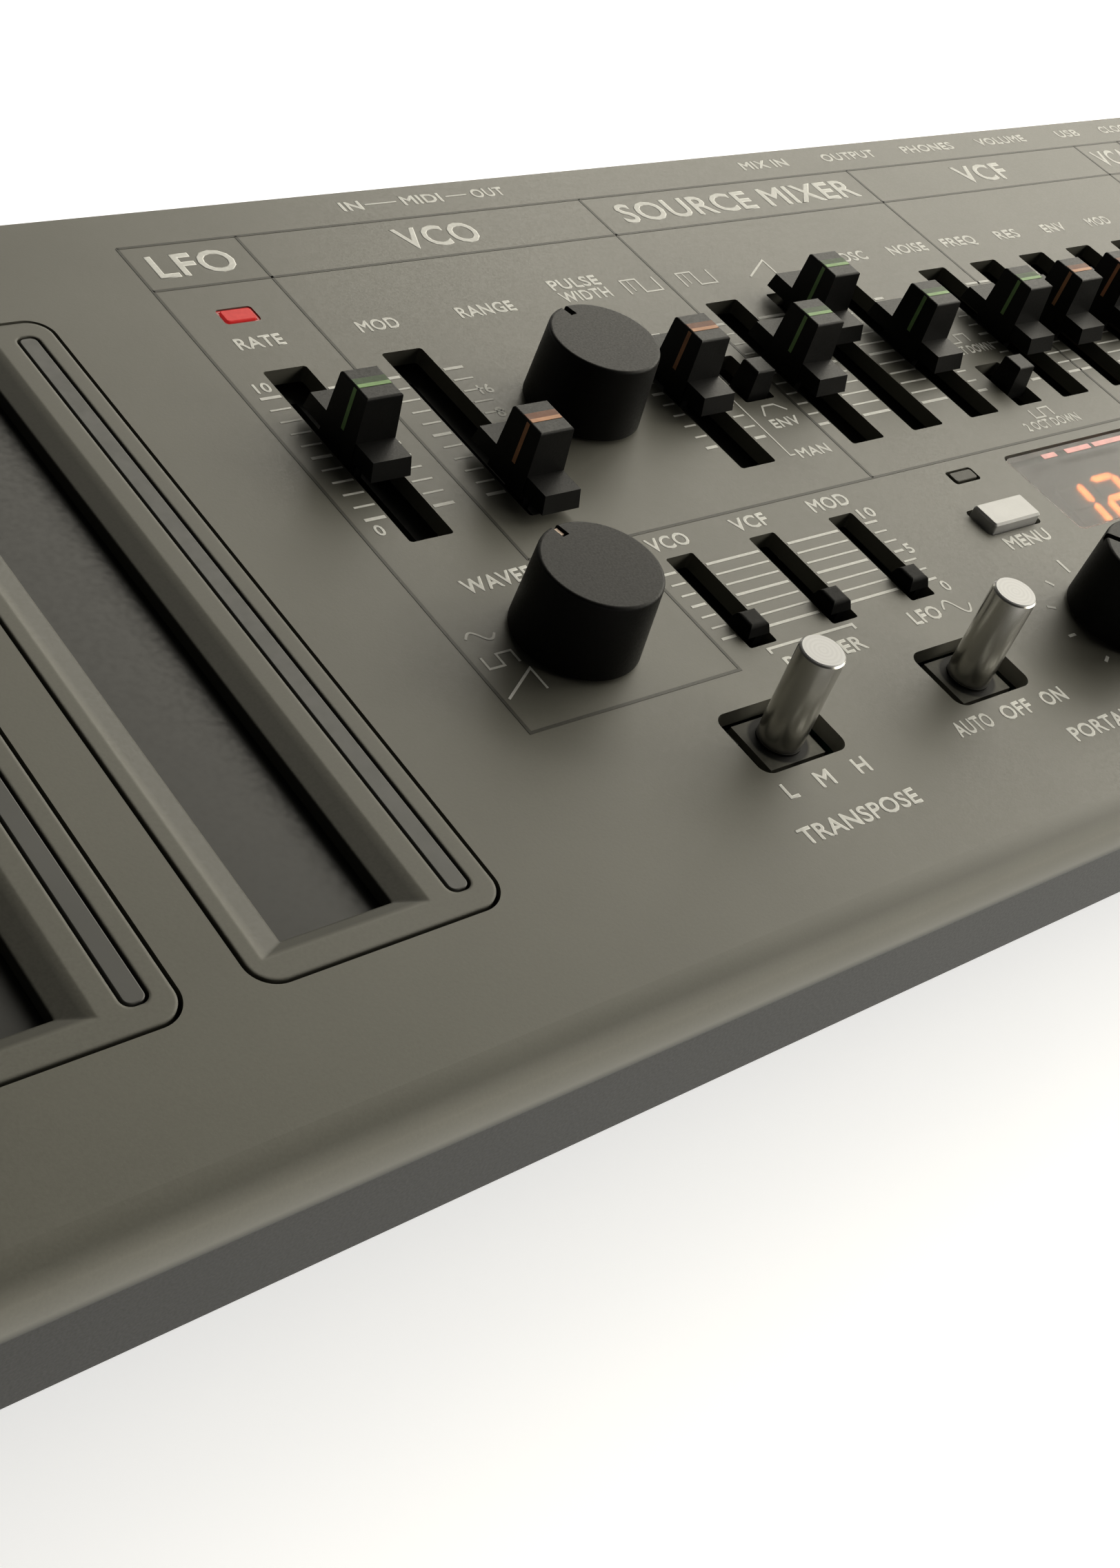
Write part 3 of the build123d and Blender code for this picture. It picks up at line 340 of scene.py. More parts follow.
SURFACES = {
    "sensor_film": dict(colour=(0.011, 0.011, 0.010), roughness=0.44, grain=1500, depth=0.002, mottle=60,
                        specular=0.4),
    "light_bar": dict(colour=(0.068, 0.068, 0.066), roughness=0.45, grain=1200, depth=0.002, shade=0.05,
                      mottle=120, specular=0.3),
    "case_plastic": dict(colour=(0.030, 0.030, 0.029), roughness=0.55, grain=1600, depth=0.03),
    "foot_rubber": dict(colour=(0.018, 0.018, 0.018), roughness=0.8, grain=2500, depth=0.02),
    "steel_hardware": dict(colour=(0.50, 0.50, 0.48), roughness=0.3, metallic=1.0, grain=4000, depth=0.004),
    "black_plastic": dict(colour=(0.012, 0.012, 0.012), roughness=0.5, grain=3000),
    "cap_plastic": dict(colour=(0.0035, 0.0035, 0.0035), roughness=0.46, grain=4200, depth=0.008, shade=0.2,
                        specular=0.15),
    "nub_plastic": dict(colour=(0.0025, 0.0025, 0.0025), roughness=0.5, grain=4200, depth=0.008, shade=0.2,
                        specular=0.05),
    "knob_plastic": dict(colour=(0.004, 0.004, 0.0038), roughness=0.48, grain=4200, depth=0.008, shade=0.15,
                         specular=0.12),
    "circuit_board": dict(colour=(0.015, 0.085, 0.045), roughness=0.35, grain=1200, mottle=900, shade=0.35),
    "dark_metal": dict(colour=(0.028, 0.028, 0.027), roughness=0.5, metallic=0.3, grain=2500),
    "socket_nickel": dict(colour=(0.60, 0.59, 0.56), roughness=0.24, metallic=1.0, grain=3500, depth=0.003),
    "speaker_cone": dict(colour=(0.022, 0.022, 0.021), roughness=0.75, grain=1800, depth=0.03),
    "cell_wrap": dict(colour=(0.10, 0.11, 0.13), roughness=0.3, metallic=0.2, grain=900, depth=0.003),
    "button_white": dict(colour=(0.44, 0.44, 0.44), roughness=0.45, grain=3200, depth=0.006, shade=0.04),
    "key_plastic": dict(colour=(0.70, 0.685, 0.63), roughness=0.48, grain=3200, depth=0.006, shade=0.04),
    "ink_white": dict(colour=(0.60, 0.60, 0.58), roughness=0.6, grain=6000, depth=0.003, shade=0.06,
                      mottle=2500, specular=0.15),
    "ink_dark": dict(colour=(0.036, 0.035, 0.029), roughness=0.55, grain=6000, depth=0.003, mottle=2500,
                     specular=0.3),
    "digit_dim": dict(colour=(0.012, 0.009, 0.008), roughness=0.5, grain=2500, depth=0.003, specular=0.1),
    "stripe_green": dict(colour=(0.17, 0.30, 0.11), roughness=0.5, grain=3500, depth=0.004, specular=0.2),
    "band_green": dict(colour=(0.030, 0.062, 0.020), roughness=0.5, grain=3500, depth=0.004, specular=0.15),
    "stripe_orange": dict(colour=(0.42, 0.20, 0.10), roughness=0.5, grain=3500, depth=0.004, specular=0.2),
    "band_orange": dict(colour=(0.13, 0.046, 0.020), roughness=0.5, grain=3500, depth=0.004, specular=0.15),
    "pointer_ink": dict(colour=(0.62, 0.45, 0.34), roughness=0.5, grain=3500, depth=0.004),
}
MATERIALS = {name: surface(name, **look) for name, look in SURFACES.items()}
MATERIALS["panel_metal"] = panel_metal()
MATERIALS["bezel_plastic"] = bezel_plastic()
MATERIALS["smoked_window"] = smoked_glass()
MATERIALS["lamp_red"] = lamp_pair()
MATERIALS["digit_glow"] = glowing("digit_glow", (1.0, 0.22, 0.04), 4.5)
MATERIALS["legend_glow"] = glowing("legend_glow", (0.50, 0.12, 0.10), 0.2)
MATERIALS["halo_glow"] = glowing("halo_glow", (0.22, 0.008, 0.008), 0.8)

slot_of = {part["node"]: part["material_slot"] for part in frame["record"]["subparts"]}
for name, node in nodes.items():
    node.data.materials.clear()
    if slot_of[name] == "lever_chrome":
        node.data.materials.append(turned_metal(name + "_metal", name))
    elif name.startswith("bender_") or name == "display_module":
        node.data.materials.append(MATERIALS["nub_plastic"])
    else:
        node.data.materials.append(MATERIALS[slot_of[name]])


# ---------------------------------------------------------------- small shapes
def make_piece(name, shape, material, body):
    """Turns a finished shape into a piece of the scene, riding on a body."""
    mesh = bpy.data.meshes.new(name)
    shape.to_mesh(mesh)
    shape.free()
    mesh.materials.append(MATERIALS[material])
    piece = bpy.data.objects.new(name, mesh)
    bpy.context.scene.collection.objects.link(piece)
    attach(piece, body)


def prism(mesh, outline, low, high):
    """Adds a closed prism over a convex outline of (x, y) points, between two heights."""
    bottom = [mesh.verts.new((x * MM, y * MM, low * MM)) for x, y in outline]
    top = [mesh.verts.new((x * MM, y * MM, high * MM)) for x, y in outline]
    mesh.faces.new(list(reversed(bottom)))
    mesh.faces.new(top)
    count = len(outline)
    for i in range(count):
        j = (i + 1) % count
        mesh.faces.new((bottom[i], bottom[j], top[j], top[i]))


def stroke(mesh, points, width, low, high):
    """Adds a line of the given width through the points, mitred at its corners."""
    points = [Vector(point) for point in points]
    count = len(points)
    left, right = [], []
    for i, point in enumerate(points):
        before = (point - points[i - 1]).normalized() if i else None
        after = (points[i + 1] - point).normalized() if i + 1 < count else None
        along = ((before or after) + (after or before)).normalized()
        across = Vector((-along.y, along.x))
        lean = max(0.4, along.dot(after or before))
        left.append(point + across * (width / 2 / lean))
        right.append(point - across * (width / 2 / lean))
    rings = []
    for a, b in zip(left, right):
        rings.append([mesh.verts.new((p.x * MM, p.y * MM, z * MM))
                      for p, z in ((a, low), (b, low), (b, high), (a, high))])
    for first, second in zip(rings, rings[1:]):
        for i in range(4):
            j = (i + 1) % 4
            mesh.faces.new((first[i], first[j], second[j], second[i]))
    mesh.faces.new(list(reversed(rings[0])))
    mesh.faces.new(rings[-1])


def printed(name, lines, material):
    """A layer of printed lines on the panel: each entry is (points, width)."""
    shape = bmesh.new()
    for points, width in lines:
        stroke(shape, points, width, PANEL_Z - INK, PANEL_Z + INK)
    bmesh.ops.recalc_face_normals(shape, faces=shape.faces)
    make_piece(name, shape, material, "chassis")


def text_mesh(words, cap_height, weight):
    """Flat lettering as a mesh, its capitals cap_height tall, centred on its own middle."""
    curve = bpy.data.curves.new("word", "FONT")
    curve.body = words
    curve.size = cap_height * MM / CAP_SHARE
    curve.bevel_depth = weight * cap_height * MM
    curve.bevel_resolution = 0
    curve.space_character = 1.05
    curve.extrude = INK * MM
    curve.resolution_u = 3
    holder = bpy.data.objects.new("word", curve)
    mesh = bpy.data.meshes.new_from_object(holder)
    bpy.data.objects.remove(holder)
    xs = [v.co.x for v in mesh.vertices]
    tallest = max(v.co.z for v in mesh.vertices)
    mesh.transform(Matrix.Translation((-(min(xs) + max(xs)) / 2, -cap_height * MM / 2, 0)))
    mesh.transform(Matrix.Scale(INK * MM / tallest, 4, (0, 0, 1)))
    return mesh


def measure_capital():
    """Height of a capital letter for a font size of one."""
    curve = bpy.data.curves.new("capital", "FONT")
    curve.body = "H"
    curve.size = 1.0
    holder = bpy.data.objects.new("capital", curve)
    mesh = bpy.data.meshes.new_from_object(holder)
    bpy.data.objects.remove(holder)
    ys = [v.co.y for v in mesh.vertices]
    return max(ys) - min(ys)


CAP_SHARE = measure_capital()


def lettering(name, entries, material):
    """The words of one printed layer: each entry is (words, x, y, cap height, weight, width or None)."""
    shape = bmesh.new()
    for words, x, y, cap_height, weight, width in entries:
        mesh = text_mesh(words, cap_height, weight)
        if width:
            xs = [v.co.x for v in mesh.vertices]
            mesh.transform(Matrix.Scale(width * MM / (max(xs) - min(xs)), 4, (1, 0, 0)))
        mesh.transform(Matrix.Translation((x * MM, y * MM, PANEL_Z * MM)))
        shape.from_mesh(mesh)
        bpy.data.meshes.remove(mesh)
    bmesh.ops.remove_doubles(shape, verts=shape.verts, dist=2e-7)
    make_piece(name, shape, material, "chassis")


# ---------------------------------------------------------------- panel layout
SLOT_HALF = 2.7
LONG = ["lfo_rate_slider", "vco_mod_slider", "pulse_width_slider", "pulse_level_slider", "saw_level_slider",
        "sub_level_slider", "noise_level_slider", "filter_freq_slider", "filter_res_slider",
        "filter_env_slider", "filter_mod_slider", "filter_kybd_slider", "attack_slider", "decay_slider",
        "sustain_slider", "release_slider"]
column = {name: middle(name).x for name in LONG}
SCALE_LOW, SCALE_HIGH = travel("lfo_rate_slider")
waveform = middle("waveform_knob")
range_knob = middle("range_knob")

HEAD_TOP = REAR - 6.7
HEAD_LOW = REAR - 14.8
SECTION_LOW = SCALE_LOW - 10.0
WAVE_LOW = waveform.y - 9.6
WAVE_RIGHT = waveform.x + 14.2
DIVIDERS = {
    "lfo_left": column["lfo_rate_slider"] - 7.0,
    "vco_left": column["vco_mod_slider"] - 7.2,
    "mixer_left": column["pulse_level_slider"] - 4.9,
    "filter_left": column["filter_freq_slider"] - 5.1,
    "amp_left": column["filter_kybd_slider"] + 4.6,
    "envelope_left": column["attack_slider"] - 8.6,
    "right": column["release_slider"] + 5.2,
}
RULE = 0.36

rules = [
    ([(DIVIDERS["lfo_left"], HEAD_TOP), (DIVIDERS["right"], HEAD_TOP)], RULE),
    ([(DIVIDERS["lfo_left"], HEAD_LOW), (DIVIDERS["right"], HEAD_LOW)], RULE),
    ([(DIVIDERS["vco_left"], SECTION_LOW), (DIVIDERS["right"], SECTION_LOW)], RULE),
    ([(DIVIDERS["lfo_left"], HEAD_TOP), (DIVIDERS["lfo_left"], WAVE_LOW), (WAVE_RIGHT, WAVE_LOW),
      (WAVE_RIGHT, SECTION_LOW)], RULE),
]
for edge in ("vco_left", "mixer_left", "filter_left", "amp_left", "envelope_left", "right"):
    rules.append(([(DIVIDERS[edge], HEAD_TOP), (DIVIDERS[edge], SECTION_LOW)], RULE))
printed("panel_rules", rules, "ink_dark")

# scales beside and between the long slots
MAJOR, MINOR = 0.44, 0.26


def scale_marks(x_from, x_to):
    """The eleven marks of a long scale between two places across the panel."""
    marks = []
    for mark in range(11):
        y = SCALE_LOW + (SCALE_HIGH - SCALE_LOW) * mark / 10
        marks.append(([(x_from, y), (x_to, y)], MAJOR if mark % 5 == 0 else MINOR))
    return marks


white_lines = []
SIDE = SLOT_HALF + 0.25
LONE_SCALES = (("lfo_rate_slider", 2.5, 2.6), ("vco_mod_slider", 2.4, 2.6), ("pulse_width_slider", 1.7, 1.7))
for name, left, right in LONE_SCALES:
    white_lines += scale_marks(column[name] - SIDE - left, column[name] - SIDE)
    white_lines += scale_marks(column[name] + SIDE, column[name] + SIDE + right)
for group in (LONG[3:6], LONG[6:12], LONG[12:16]):
    for a, b in zip(group, group[1:]):
        white_lines += scale_marks(column[a] + SIDE, column[b] - SIDE)
    white_lines += scale_marks(column[group[0]] - SIDE - 1.7, column[group[0]] - SIDE)
    white_lines += scale_marks(column[group[-1]] + SIDE, column[group[-1]] + SIDE + 1.7)

# lines behind the three bender sliders
benders = [middle(name).x for name in ("bender_vco_slider", "bender_vcf_slider", "bender_mod_slider")]
bend_low, bend_high = travel("bender_vco_slider")
BEND_HALF = 2.15
spans = [(benders[0] - 4.1, benders[0] - BEND_HALF), (benders[0] + BEND_HALF, benders[1] - BEND_HALF),
         (benders[1] + BEND_HALF, benders[2] - BEND_HALF)]
for mark in range(7):
    y = bend_low + (bend_high - bend_low) * mark / 6
    last_end = benders[2] + (3.6 if mark == 3 else 4.1)
    for x_from, x_to in spans + [(benders[2] + BEND_HALF, last_end)]:
        white_lines.append(([(x_from, y), (x_to, y)], 0.36 if mark % 3 == 0 else 0.26))
white_lines.append(([(benders[0] - 0.1, bend_low - 3.5), (benders[0] - 0.1, bend_low - 2.8),
                     (benders[1] + 0.2, bend_low - 2.8), (benders[1] + 0.2, bend_low - 3.5)], 0.35))

# waveform signs
SIGN = 0.26
LABEL_Y = SCALE_HIGH + 9.1


def pulse_sign(x, y):
    """Square wave with a second edge that shows its width moving."""
    wave = [(x - 2.6, y - 1.4), (x - 2.6, y + 1.4), (x - 0.2, y + 1.4), (x - 0.2, y - 1.3),
            (x + 2.5, y - 1.3), (x + 2.5, y + 1.4)]
    second_edge = [(x - 1.6, y - 0.9), (x - 1.6, y + 1.2)]
    return [(wave, SIGN), (second_edge, 0.18)]


def saw_sign(x, y):
    """One tooth of a saw wave."""
    return [([(x - 2.4, y - 1.4), (x + 2.2, y + 1.5), (x + 2.2, y - 1.4)], SIGN)]


def square_sign(x, y):
    """One turn of a square wave."""
    width, height = 1.8, 0.8
    return [([(x - width, y + height), (x - width, y - height), (x, y - height), (x, y + height),
              (x + width, y + height), (x + width, y - height)], SIGN)]


def sine_sign(x, y, width, height):
    """One turn of a sine wave."""
    turns = [i / 16 for i in range(17)]
    points = [(x - width + 2 * width * t, y + height * math.sin(2 * math.pi * t)) for t in turns]
    return [(points, SIGN)]


pwm = middle("pwm_source_switch")
sub = middle("sub_type_switch")
white_lines += pulse_sign(pwm.x + 0.1, LABEL_Y + 0.2)
white_lines += pulse_sign(column["pulse_level_slider"] + 0.2, LABEL_Y + 0.1)
white_lines += saw_sign(column["saw_level_slider"] + 0.4, LABEL_Y + 0.3)
white_lines += square_sign(sub.x, SCALE_LOW - 5.9)
white_lines += square_sign(sub.x, SCALE_LOW + 9.9)
white_lines += sine_sign(benders[2] + 2.9, bend_low - 4.5, 2.0, 1.2)
# leader from the source selector, and its envelope sign
leader_x = pwm.x - 3.8
leader = [(leader_x, pwm.y - 1.0), (leader_x, SCALE_LOW - 3.8), (leader_x + 0.8, SCALE_LOW - 3.8)]
envelope_sign = [(pwm.x - 1.8, SCALE_LOW + 3.1), (pwm.x - 0.8, SCALE_LOW + 4.8),
                 (pwm.x + 1.0, SCALE_LOW + 4.8), (pwm.x + 2.2, SCALE_LOW + 3.5)]
white_lines += [(leader, 0.2), (envelope_sign, SIGN)]
# signs round the waveform knob
for index, draw in enumerate((lambda x, y: sine_sign(x, y, 1.7, 0.7), square_sign, saw_sign)):
    white_lines += draw(waveform.x - 9.3, waveform.y + 3.0 - index * 3.4)

# marks round the portamento and value knobs
for name in ("portamento_knob", "value_knob"):
    centre = middle(name)
    for step in range(11):
        angle = math.radians(240 - step * 30)
        inner, outer = 8.2, 9.3 if step % 5 else 10.4
        ray = Vector((math.cos(angle), math.sin(angle)))
        white_lines.append(([centre.xy + ray * inner, centre.xy + ray * outer], MINOR + 0.12))
# short rules between the words for the two round sockets
midi_y = REAR - 3.3
white_lines.append(([(-42.4, midi_y), (-37.8, midi_y)], 0.22))
white_lines.append(([(-30.4, midi_y), (-27.2, midi_y)], 0.22))
printed("panel_marks", white_lines, "ink_white")

# words
lever_a = middle("transpose_lever")
lever_b = middle("portamento_lever")
HEAD_Y = (HEAD_TOP + HEAD_LOW) / 2
SMALL, TINY, REAR_CAP = 1.85, 1.5, 1.7
heads = [
    ("LFO", column["lfo_rate_slider"] + 0.2, HEAD_Y, 3.85, 0.036, 10.3),
    ("VCO", range_knob.x + 3.3, HEAD_Y, 3.85, 0.036, 11.7),
    ("SOURCE MIXER", 13.8, HEAD_Y, 3.85, 0.036, 43.5),
    ("VCF", column["filter_res_slider"] + 9.7, HEAD_Y, 3.85, 0.036, 10.8),
    ("VCA", (DIVIDERS["amp_left"] + DIVIDERS["envelope_left"]) / 2, HEAD_Y, 3.85, 0.036, 8.4),
    ("ENV", (DIVIDERS["envelope_left"] + DIVIDERS["right"]) / 2, HEAD_Y, 3.85, 0.036, 11.2),
]
small = [
    ("RATE", column["lfo_rate_slider"] - 0.1, LABEL_Y, 5.8),
    ("MOD", column["vco_mod_slider"] + 0.1, LABEL_Y, 5.4),
    ("RANGE", range_knob.x + 0.1, LABEL_Y, 8.1),
    ("PULSE", column["pulse_width_slider"], LABEL_Y + 2.5, 7.6),
    ("WIDTH", column["pulse_width_slider"], LABEL_Y, 7.6),
    ("SUB OSC", column["sub_level_slider"] + 4.6, LABEL_Y, 10.4),
    ("NOISE", column["noise_level_slider"], LABEL_Y, 7.4),
    ("FREQ", column["filter_freq_slider"], LABEL_Y, 6.8),
    ("RES", column["filter_res_slider"], LABEL_Y, 4.8),
    ("ENV", column["filter_env_slider"], LABEL_Y, 5.0),
    ("MOD", column["filter_mod_slider"], LABEL_Y, 5.2),
    ("KYBD", column["filter_kybd_slider"] - 0.4, LABEL_Y, 6.2),
    ("A", column["attack_slider"], LABEL_Y, 1.7),
    ("D", column["decay_slider"], LABEL_Y, 1.7),
    ("S", column["sustain_slider"], LABEL_Y, 1.7),
    ("R", column["release_slider"], LABEL_Y, 1.7),
    ("VCO", benders[0] + 0.2, bend_high + 4.3, 5.6),
    ("VCF", benders[1] + 0.1, bend_high + 4.3, 5.2),
    ("MOD", benders[2] + 0.2, bend_high + 4.3, 6.0),
    ("BENDER", benders[0] + 6.0, bend_low - 5.3, 11.2),
    ("LFO", benders[2] - 2.1, bend_low - 4.4, 4.5),
    ("WAVEFORM", waveform.x + 0.2, waveform.y + 9.4, 14.2),
    ("MENU", middle("menu_button").x, middle("menu_button").y - 4.0, 7.4),
    ("L", lever_a.x - 4.8, lever_a.y - 6.5, 1.3),
    ("M", lever_a.x - 0.1, lever_a.y - 6.5, 2.0),
    ("H", lever_a.x + 5.0, lever_a.y - 6.5, 1.7),
    ("TRANSPOSE", lever_a.x, lever_a.y - 11.7, 15.9),
    ("AUTO", lever_b.x - 6.4, lever_b.y - 6.5, 5.5),
    ("OFF", lever_b.x + 0.4, lever_b.y - 6.5, 4.6),
    ("ON", lever_b.x + 6.4, lever_b.y - 6.5, 3.6),
    ("PORTAMENTO", (lever_b.x + middle("portamento_knob").x) / 2, lever_b.y - 11.7, 18.0),
    ("VALUE", middle("value_knob").x, middle("value_knob").y + 12.0, 7.6),
]
for word in ("SHIFT", "HOLD", "ARP", "SEQ", "PLAY"):
    button = middle(word.lower() + "_button")
    small.append((word, button.x, button.y - 8.4, None))
tiny = [
    ("10", column["lfo_rate_slider"] - 4.2, SCALE_HIGH + 1.7, 1.9),
    ("0", column["lfo_rate_slider"] - 4.8, SCALE_LOW - 1.7, 1.1),
    ("ENV", pwm.x + 0.2, SCALE_LOW + 1.6, 4.4),
    ("MAN", pwm.x - 0.1, SCALE_LOW - 3.8, 5.0),
    ("2 OCT DOWN", sub.x, SCALE_LOW - 7.9, 10.4),
    ("1 OCT DOWN", sub.x, SCALE_LOW + 7.6, 9.0),
    ("10", benders[2] + 3.8, bend_high + 1.5, 2.4),
    ("5", benders[2] + 4.5, (bend_low + bend_high) / 2, 1.1),
    ("0", benders[2] + 4.2, bend_low - 1.4, 1.1),
    ("16", range_knob.x - 9.4, range_knob.y + 5.5, None),
    ("8", range_knob.x - 10.2, range_knob.y + 1.5, None),
    ("4", range_knob.x - 9.8, range_knob.y - 2.5, None),
    ("2", range_knob.x - 8.6, range_knob.y - 6.0, None),
]
rear_words = [
    ("IN", -44.4, 3.0), ("MIDI", -34.1, 5.9), ("OUT", -23.95, 5.1), ("MIX IN", 24.5, 8.8),
    ("OUTPUT", 41.5, 10.9), ("PHONES", 58.6, 11.2), ("VOLUME", 75.5, 11.2), ("USB", 91.9, 5.4),
    ("CLOCK", 104.5, 8.6), ("GATE", 116.5, 7.0), ("CV", 128.5, 3.4), ("POWER", 139.5, 8.6),
]
lettering("panel_words", heads
          + [(word, x, y, SMALL, 0.042, width) for word, x, y, width in small]
          + [(word, x, y, TINY, 0.036, width) for word, x, y, width in tiny]
          + [(word, x, midi_y, REAR_CAP, 0.045, width) for word, x, width in rear_words], "ink_white")


# ---------------------------------------------------------------- slider caps
def inlay(node, name, y_low, y_high, proud, material):
    """Strip let into a slider cap, across its top and down both sides."""
    at = middle(node)
    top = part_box(node)[1].z / MM
    foot = PANEL_Z + 3.1
    half_top, half_foot = 2.2, 2.2 + 0.4 * (top - foot) / (top - PANEL_Z - 0.4)
    path = [(-half_foot - proud, foot), (-half_top - proud, top - 0.2), (-half_top + 0.25, top + proud),
            (half_top - 0.25, top + proud), (half_top + proud, top - 0.2), (half_foot + proud, foot)]
    inner = [(-half_foot + 0.3, foot), (-half_top + 0.3, top - 0.3), (-half_top + 0.3, top - 0.3),
             (half_top - 0.3, top - 0.3), (half_top - 0.3, top - 0.3), (half_foot - 0.3, foot)]
    shape = bmesh.new()
    rings = []
    for (x_out, z_out), (x_in, z_in) in zip(path, inner):
        corners = ((x_out, y_low, z_out), (x_out, y_high, z_out), (x_in, y_high, z_in), (x_in, y_low, z_in))
        rings.append([shape.verts.new(((at.x + x) * MM, (at.y + y) * MM, z * MM)) for x, y, z in corners])
    for first, second in zip(rings, rings[1:]):
        for i in range(4):
            j = (i + 1) % 4
            shape.faces.new((first[i], first[j], second[j], second[i]))
    shape.faces.new(rings[0])
    shape.faces.new(list(reversed(rings[-1])))
    bmesh.ops.remove_doubles(shape, verts=shape.verts, dist=1e-7)
    bmesh.ops.recalc_face_normals(shape, faces=shape.faces)
    make_piece(node + name, shape, material, node)


def top_line(node, name, y_low, y_high, proud, material):
    """Line across the top of a slider cap only."""
    at = middle(node)
    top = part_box(node)[1].z / MM
    shape = bmesh.new()
    left, right = at.x - 2.0, at.x + 2.0
    outline = [(left, at.y + y_low), (right, at.y + y_low), (right, at.y + y_high), (left, at.y + y_high)]
    prism(shape, outline, top - 0.2, top + proud)
    make_piece(node + name, shape, material, node)


def pointer_line(node, pointer):
    """Pale line on the floor of a knob's notch; pointer is its direction in degrees from +X."""
    at = middle(node)
    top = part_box(node)[1].z / MM
    along = Vector((math.cos(math.radians(pointer)), math.sin(math.radians(pointer))))
    shape = bmesh.new()
    stroke(shape, [at.xy + along * 5.0, at.xy + along * 6.0], 0.5, top - 0.85, top - 0.25)
    bmesh.ops.recalc_face_normals(shape, faces=shape.faces)
    make_piece(node + "_pointer", shape, "pointer_ink", node)


pointer_line("waveform_knob", 102)

GREEN = {"lfo_rate_slider", "pulse_level_slider", "saw_level_slider", "sub_level_slider",
         "noise_level_slider", "attack_slider", "decay_slider", "sustain_slider", "release_slider"}
for name in LONG:
    hue = "green" if name in GREEN else "orange"
    inlay(name, "_stripe", -0.58, -0.06, 0.04, "stripe_" + hue)
    top_line(name, "_band", -0.06, 0.85, 0.03, "band_" + hue)

# ---------------------------------------------------------------- display digits
display_low, display_high = (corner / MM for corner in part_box("display_module"))
DIGIT_H, DIGIT_W, BAR, LEAN = 7.2, 4.2, 0.85, 0.16
SEGMENTS = {"a": ((0, 2), (1, 2)), "b": ((1, 2), (1, 1)), "c": ((1, 1), (1, 0)), "d": ((0, 0), (1, 0)),
            "e": ((0, 1), (0, 0)), "f": ((0, 2), (0, 1)), "g": ((0, 1), (1, 1))}
LIT = {"1": "bc", "2": "abged", "0": "abcdef"}


def segment(shape, start, end, low, high):
    """One bar of a digit, pointed at both ends."""
    start, end = Vector(start), Vector(end)
    along = (end - start).normalized()
    across = Vector((-along.y, along.x)) * BAR / 2
    tip = along * BAR / 2
    start, end = start + along * 0.12, end - along * 0.12
    outline = [start, start + tip + across, end - tip + across, end, end - tip - across, start + tip - across]
    outline = [(p.x + (p.y - display_low.y) * LEAN, p.y) for p in outline]
    prism(shape, list(reversed(outline)), low, high)


def digits(name, text, lit, material):
    """Seven-bar digits; lit chooses the bars that glow or the ones that don't."""
    shape = bmesh.new()
    for place, character in enumerate(text):
        left = display_low.x + 3.6 + place * 6.9
        floor = display_low.y + 0.9
        for bar, ends in SEGMENTS.items():
            if (bar in LIT[character]) == lit:
                start, end = [(left + u * DIGIT_W, floor + v * DIGIT_H / 2) for u, v in ends]
                segment(shape, start, end, display_high.z, display_high.z + 0.25)
    bmesh.ops.recalc_face_normals(shape, faces=shape.faces)
    make_piece(name, shape, material, "chassis")


digits("display_digits", "1200", True, "digit_glow")
digits("display_digits_off", "1200", False, "digit_dim")

# marks on the window, above the digits
window_low, window_high = (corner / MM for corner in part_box("display_window"))
legend = bmesh.new()
legend_y = window_high.y - 1.1
for start, end in ((6.0, 8.6), (10.5, 15.3), (16.0, 22.0), (24.5, 30.0)):
    stroke(legend, [(window_low.x + start, legend_y), (window_low.x + end, legend_y)], 0.8,
           window_high.z - INK, window_high.z + INK)
make_piece("display_legend", legend, "legend_glow", "chassis")

# red light in the gap round the lit lamp
lamps_low, lamps_high = (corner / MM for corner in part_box("indicator_leds"))
LENS_X, LENS_Y, GAP_W = 3.8, 2.0, 0.3
lamp_x, lamp_y = lamps_low.x + LENS_X / 2, lamps_high.y - LENS_Y / 2
halo = bmesh.new()
for side in (-1, 1):
    y = lamp_y + side * (LENS_Y + GAP_W) / 2
    stroke(halo, [(lamp_x - LENS_X / 2 - GAP_W, y), (lamp_x + LENS_X / 2 + GAP_W, y)], GAP_W,
           PANEL_Z - 1.0, PANEL_Z - 0.15)
    x = lamp_x + side * (LENS_X + GAP_W) / 2
    stroke(halo, [(x, lamp_y - LENS_Y / 2), (x, lamp_y + LENS_Y / 2)], GAP_W, PANEL_Z - 1.0, PANEL_Z - 0.15)
bmesh.ops.recalc_face_normals(halo, faces=halo.faces)
make_piece("lamp_halo", halo, "halo_glow", "chassis")

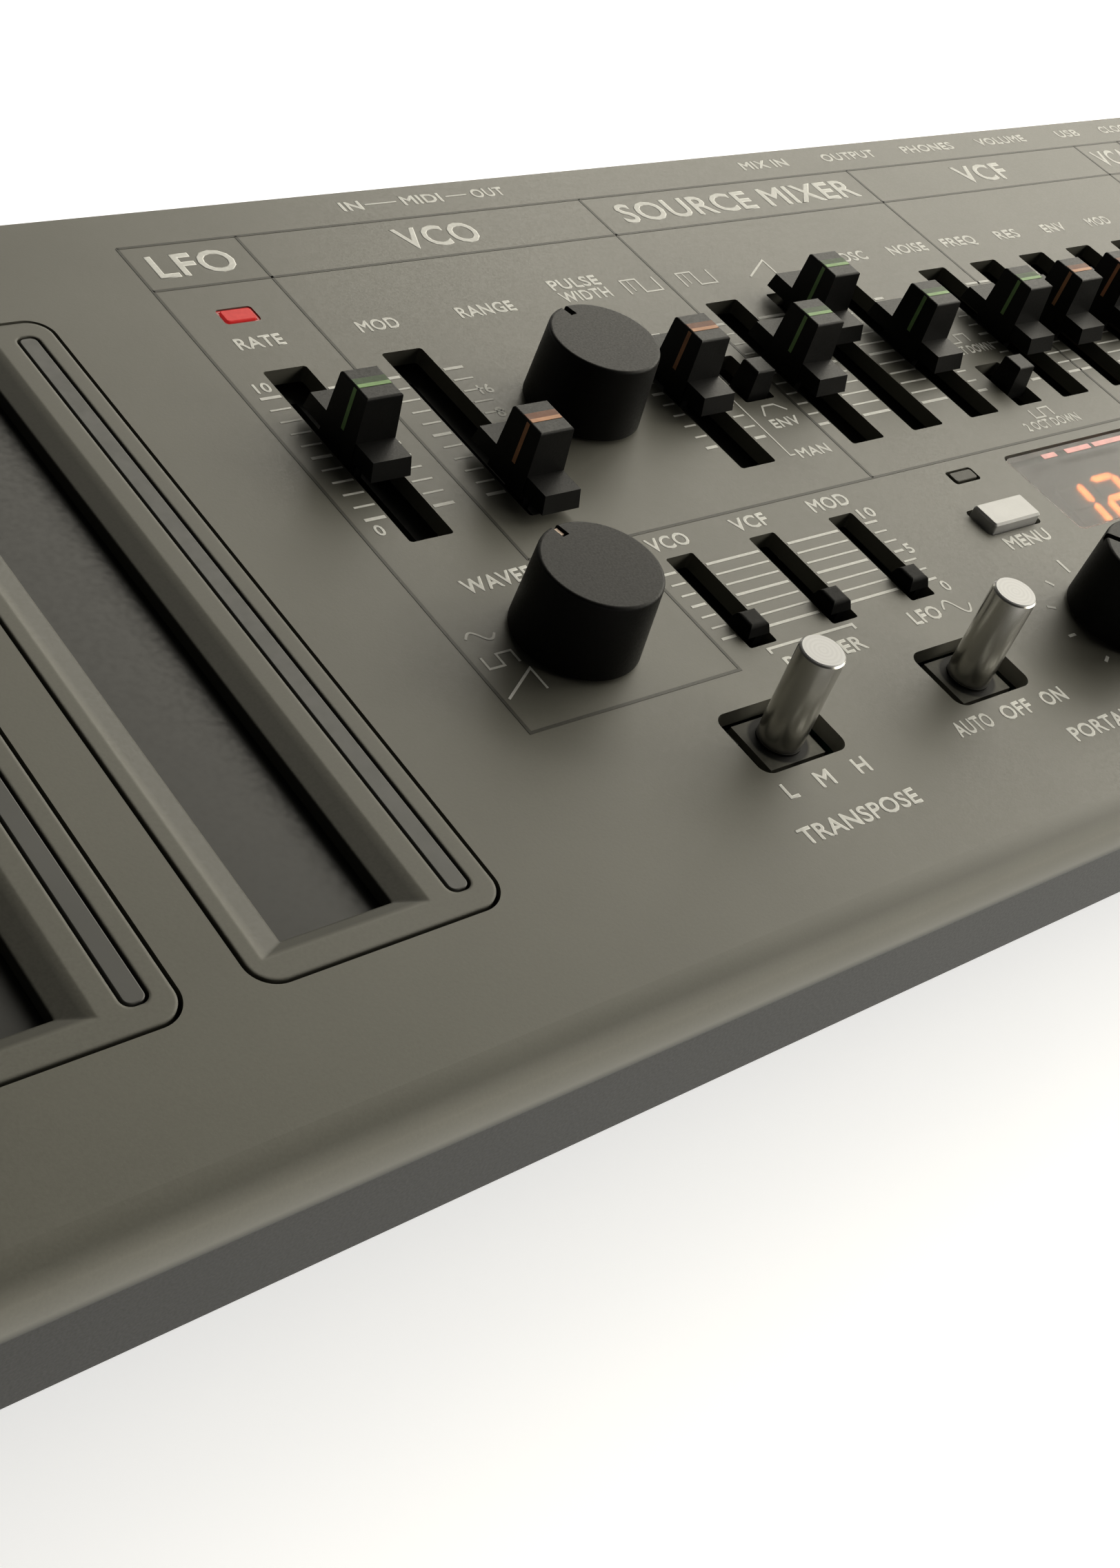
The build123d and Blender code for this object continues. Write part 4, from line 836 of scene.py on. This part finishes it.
# ---------------------------------------------------------------- floor and light
floor_mesh = bpy.data.meshes.new("floor")
REACH = 8.0
floor_mesh.from_pydata([(-REACH, -REACH, 0), (REACH, -REACH, 0), (REACH, REACH, 0), (-REACH, REACH, 0)], [],
                       [(0, 1, 2, 3)])
floor = bpy.data.objects.new("floor", floor_mesh)
bpy.context.scene.collection.objects.link(floor)
floor_paint, floor_tree, floor_shader, floor_place = new_material("floor_paint")
floor_shader.inputs["Roughness"].default_value = 0.9
floor_shader.inputs["Emission Color"].default_value = (1, 1, 1, 1)
floor_shader.inputs["Emission Strength"].default_value = 0.6
floor_colour = ramp(floor_tree, noise(floor_tree, floor_place, 2.0), (0.78, 0.78, 0.79), (0.82, 0.82, 0.83))
floor_tree.links.new(floor_colour, floor_shader.inputs["Base Color"])
floor_mesh.materials.append(floor_paint)

world = bpy.data.worlds.new("studio")
bpy.context.scene.world = world
world.use_nodes = True
world.node_tree.nodes["Background"].inputs["Color"].default_value = (1.0, 0.97, 0.86, 1)
world.node_tree.nodes["Background"].inputs["Strength"].default_value = 0.03

WARM = (1.0, 0.955, 0.83)
LIGHT_DISTANCE = 1.7       # metres from the middle of the floor


def softbox(name, place, size, power):
    """Square studio light at a place in metres, turned to face the origin."""
    data = bpy.data.lights.new(name, "AREA")
    data.shape = "SQUARE"
    data.size = size
    data.energy = power
    data.color = WARM
    light = bpy.data.objects.new(name, data)
    light.location = place
    light.rotation_euler = (-place).to_track_quat("-Z", "Y").to_euler()
    bpy.context.scene.collection.objects.link(light)


# azimuth and elevation in degrees, width in metres, power in watts
SOFTBOXES = [
    ("front_light", -48, 25, 0.6, 6.0),
    ("side_light_low", -25, 25, 1.0, 8.5),
    ("side_light", 0, 25, 1.0, 23.0),
    ("side_light_high", 20, 40, 1.0, 8.0),
    ("rear_light", 37, 25, 1.0, 12.0),
    ("rear_light_high", 60, 30, 1.0, 7.0),
]
for name, azimuth, elevation, size, power in SOFTBOXES:
    turn, rise = math.radians(azimuth), math.radians(elevation)
    aside = math.cos(rise)
    toward = Vector((aside * math.cos(turn), aside * math.sin(turn), math.sin(rise)))
    softbox(name, toward * LIGHT_DISTANCE, size, power)
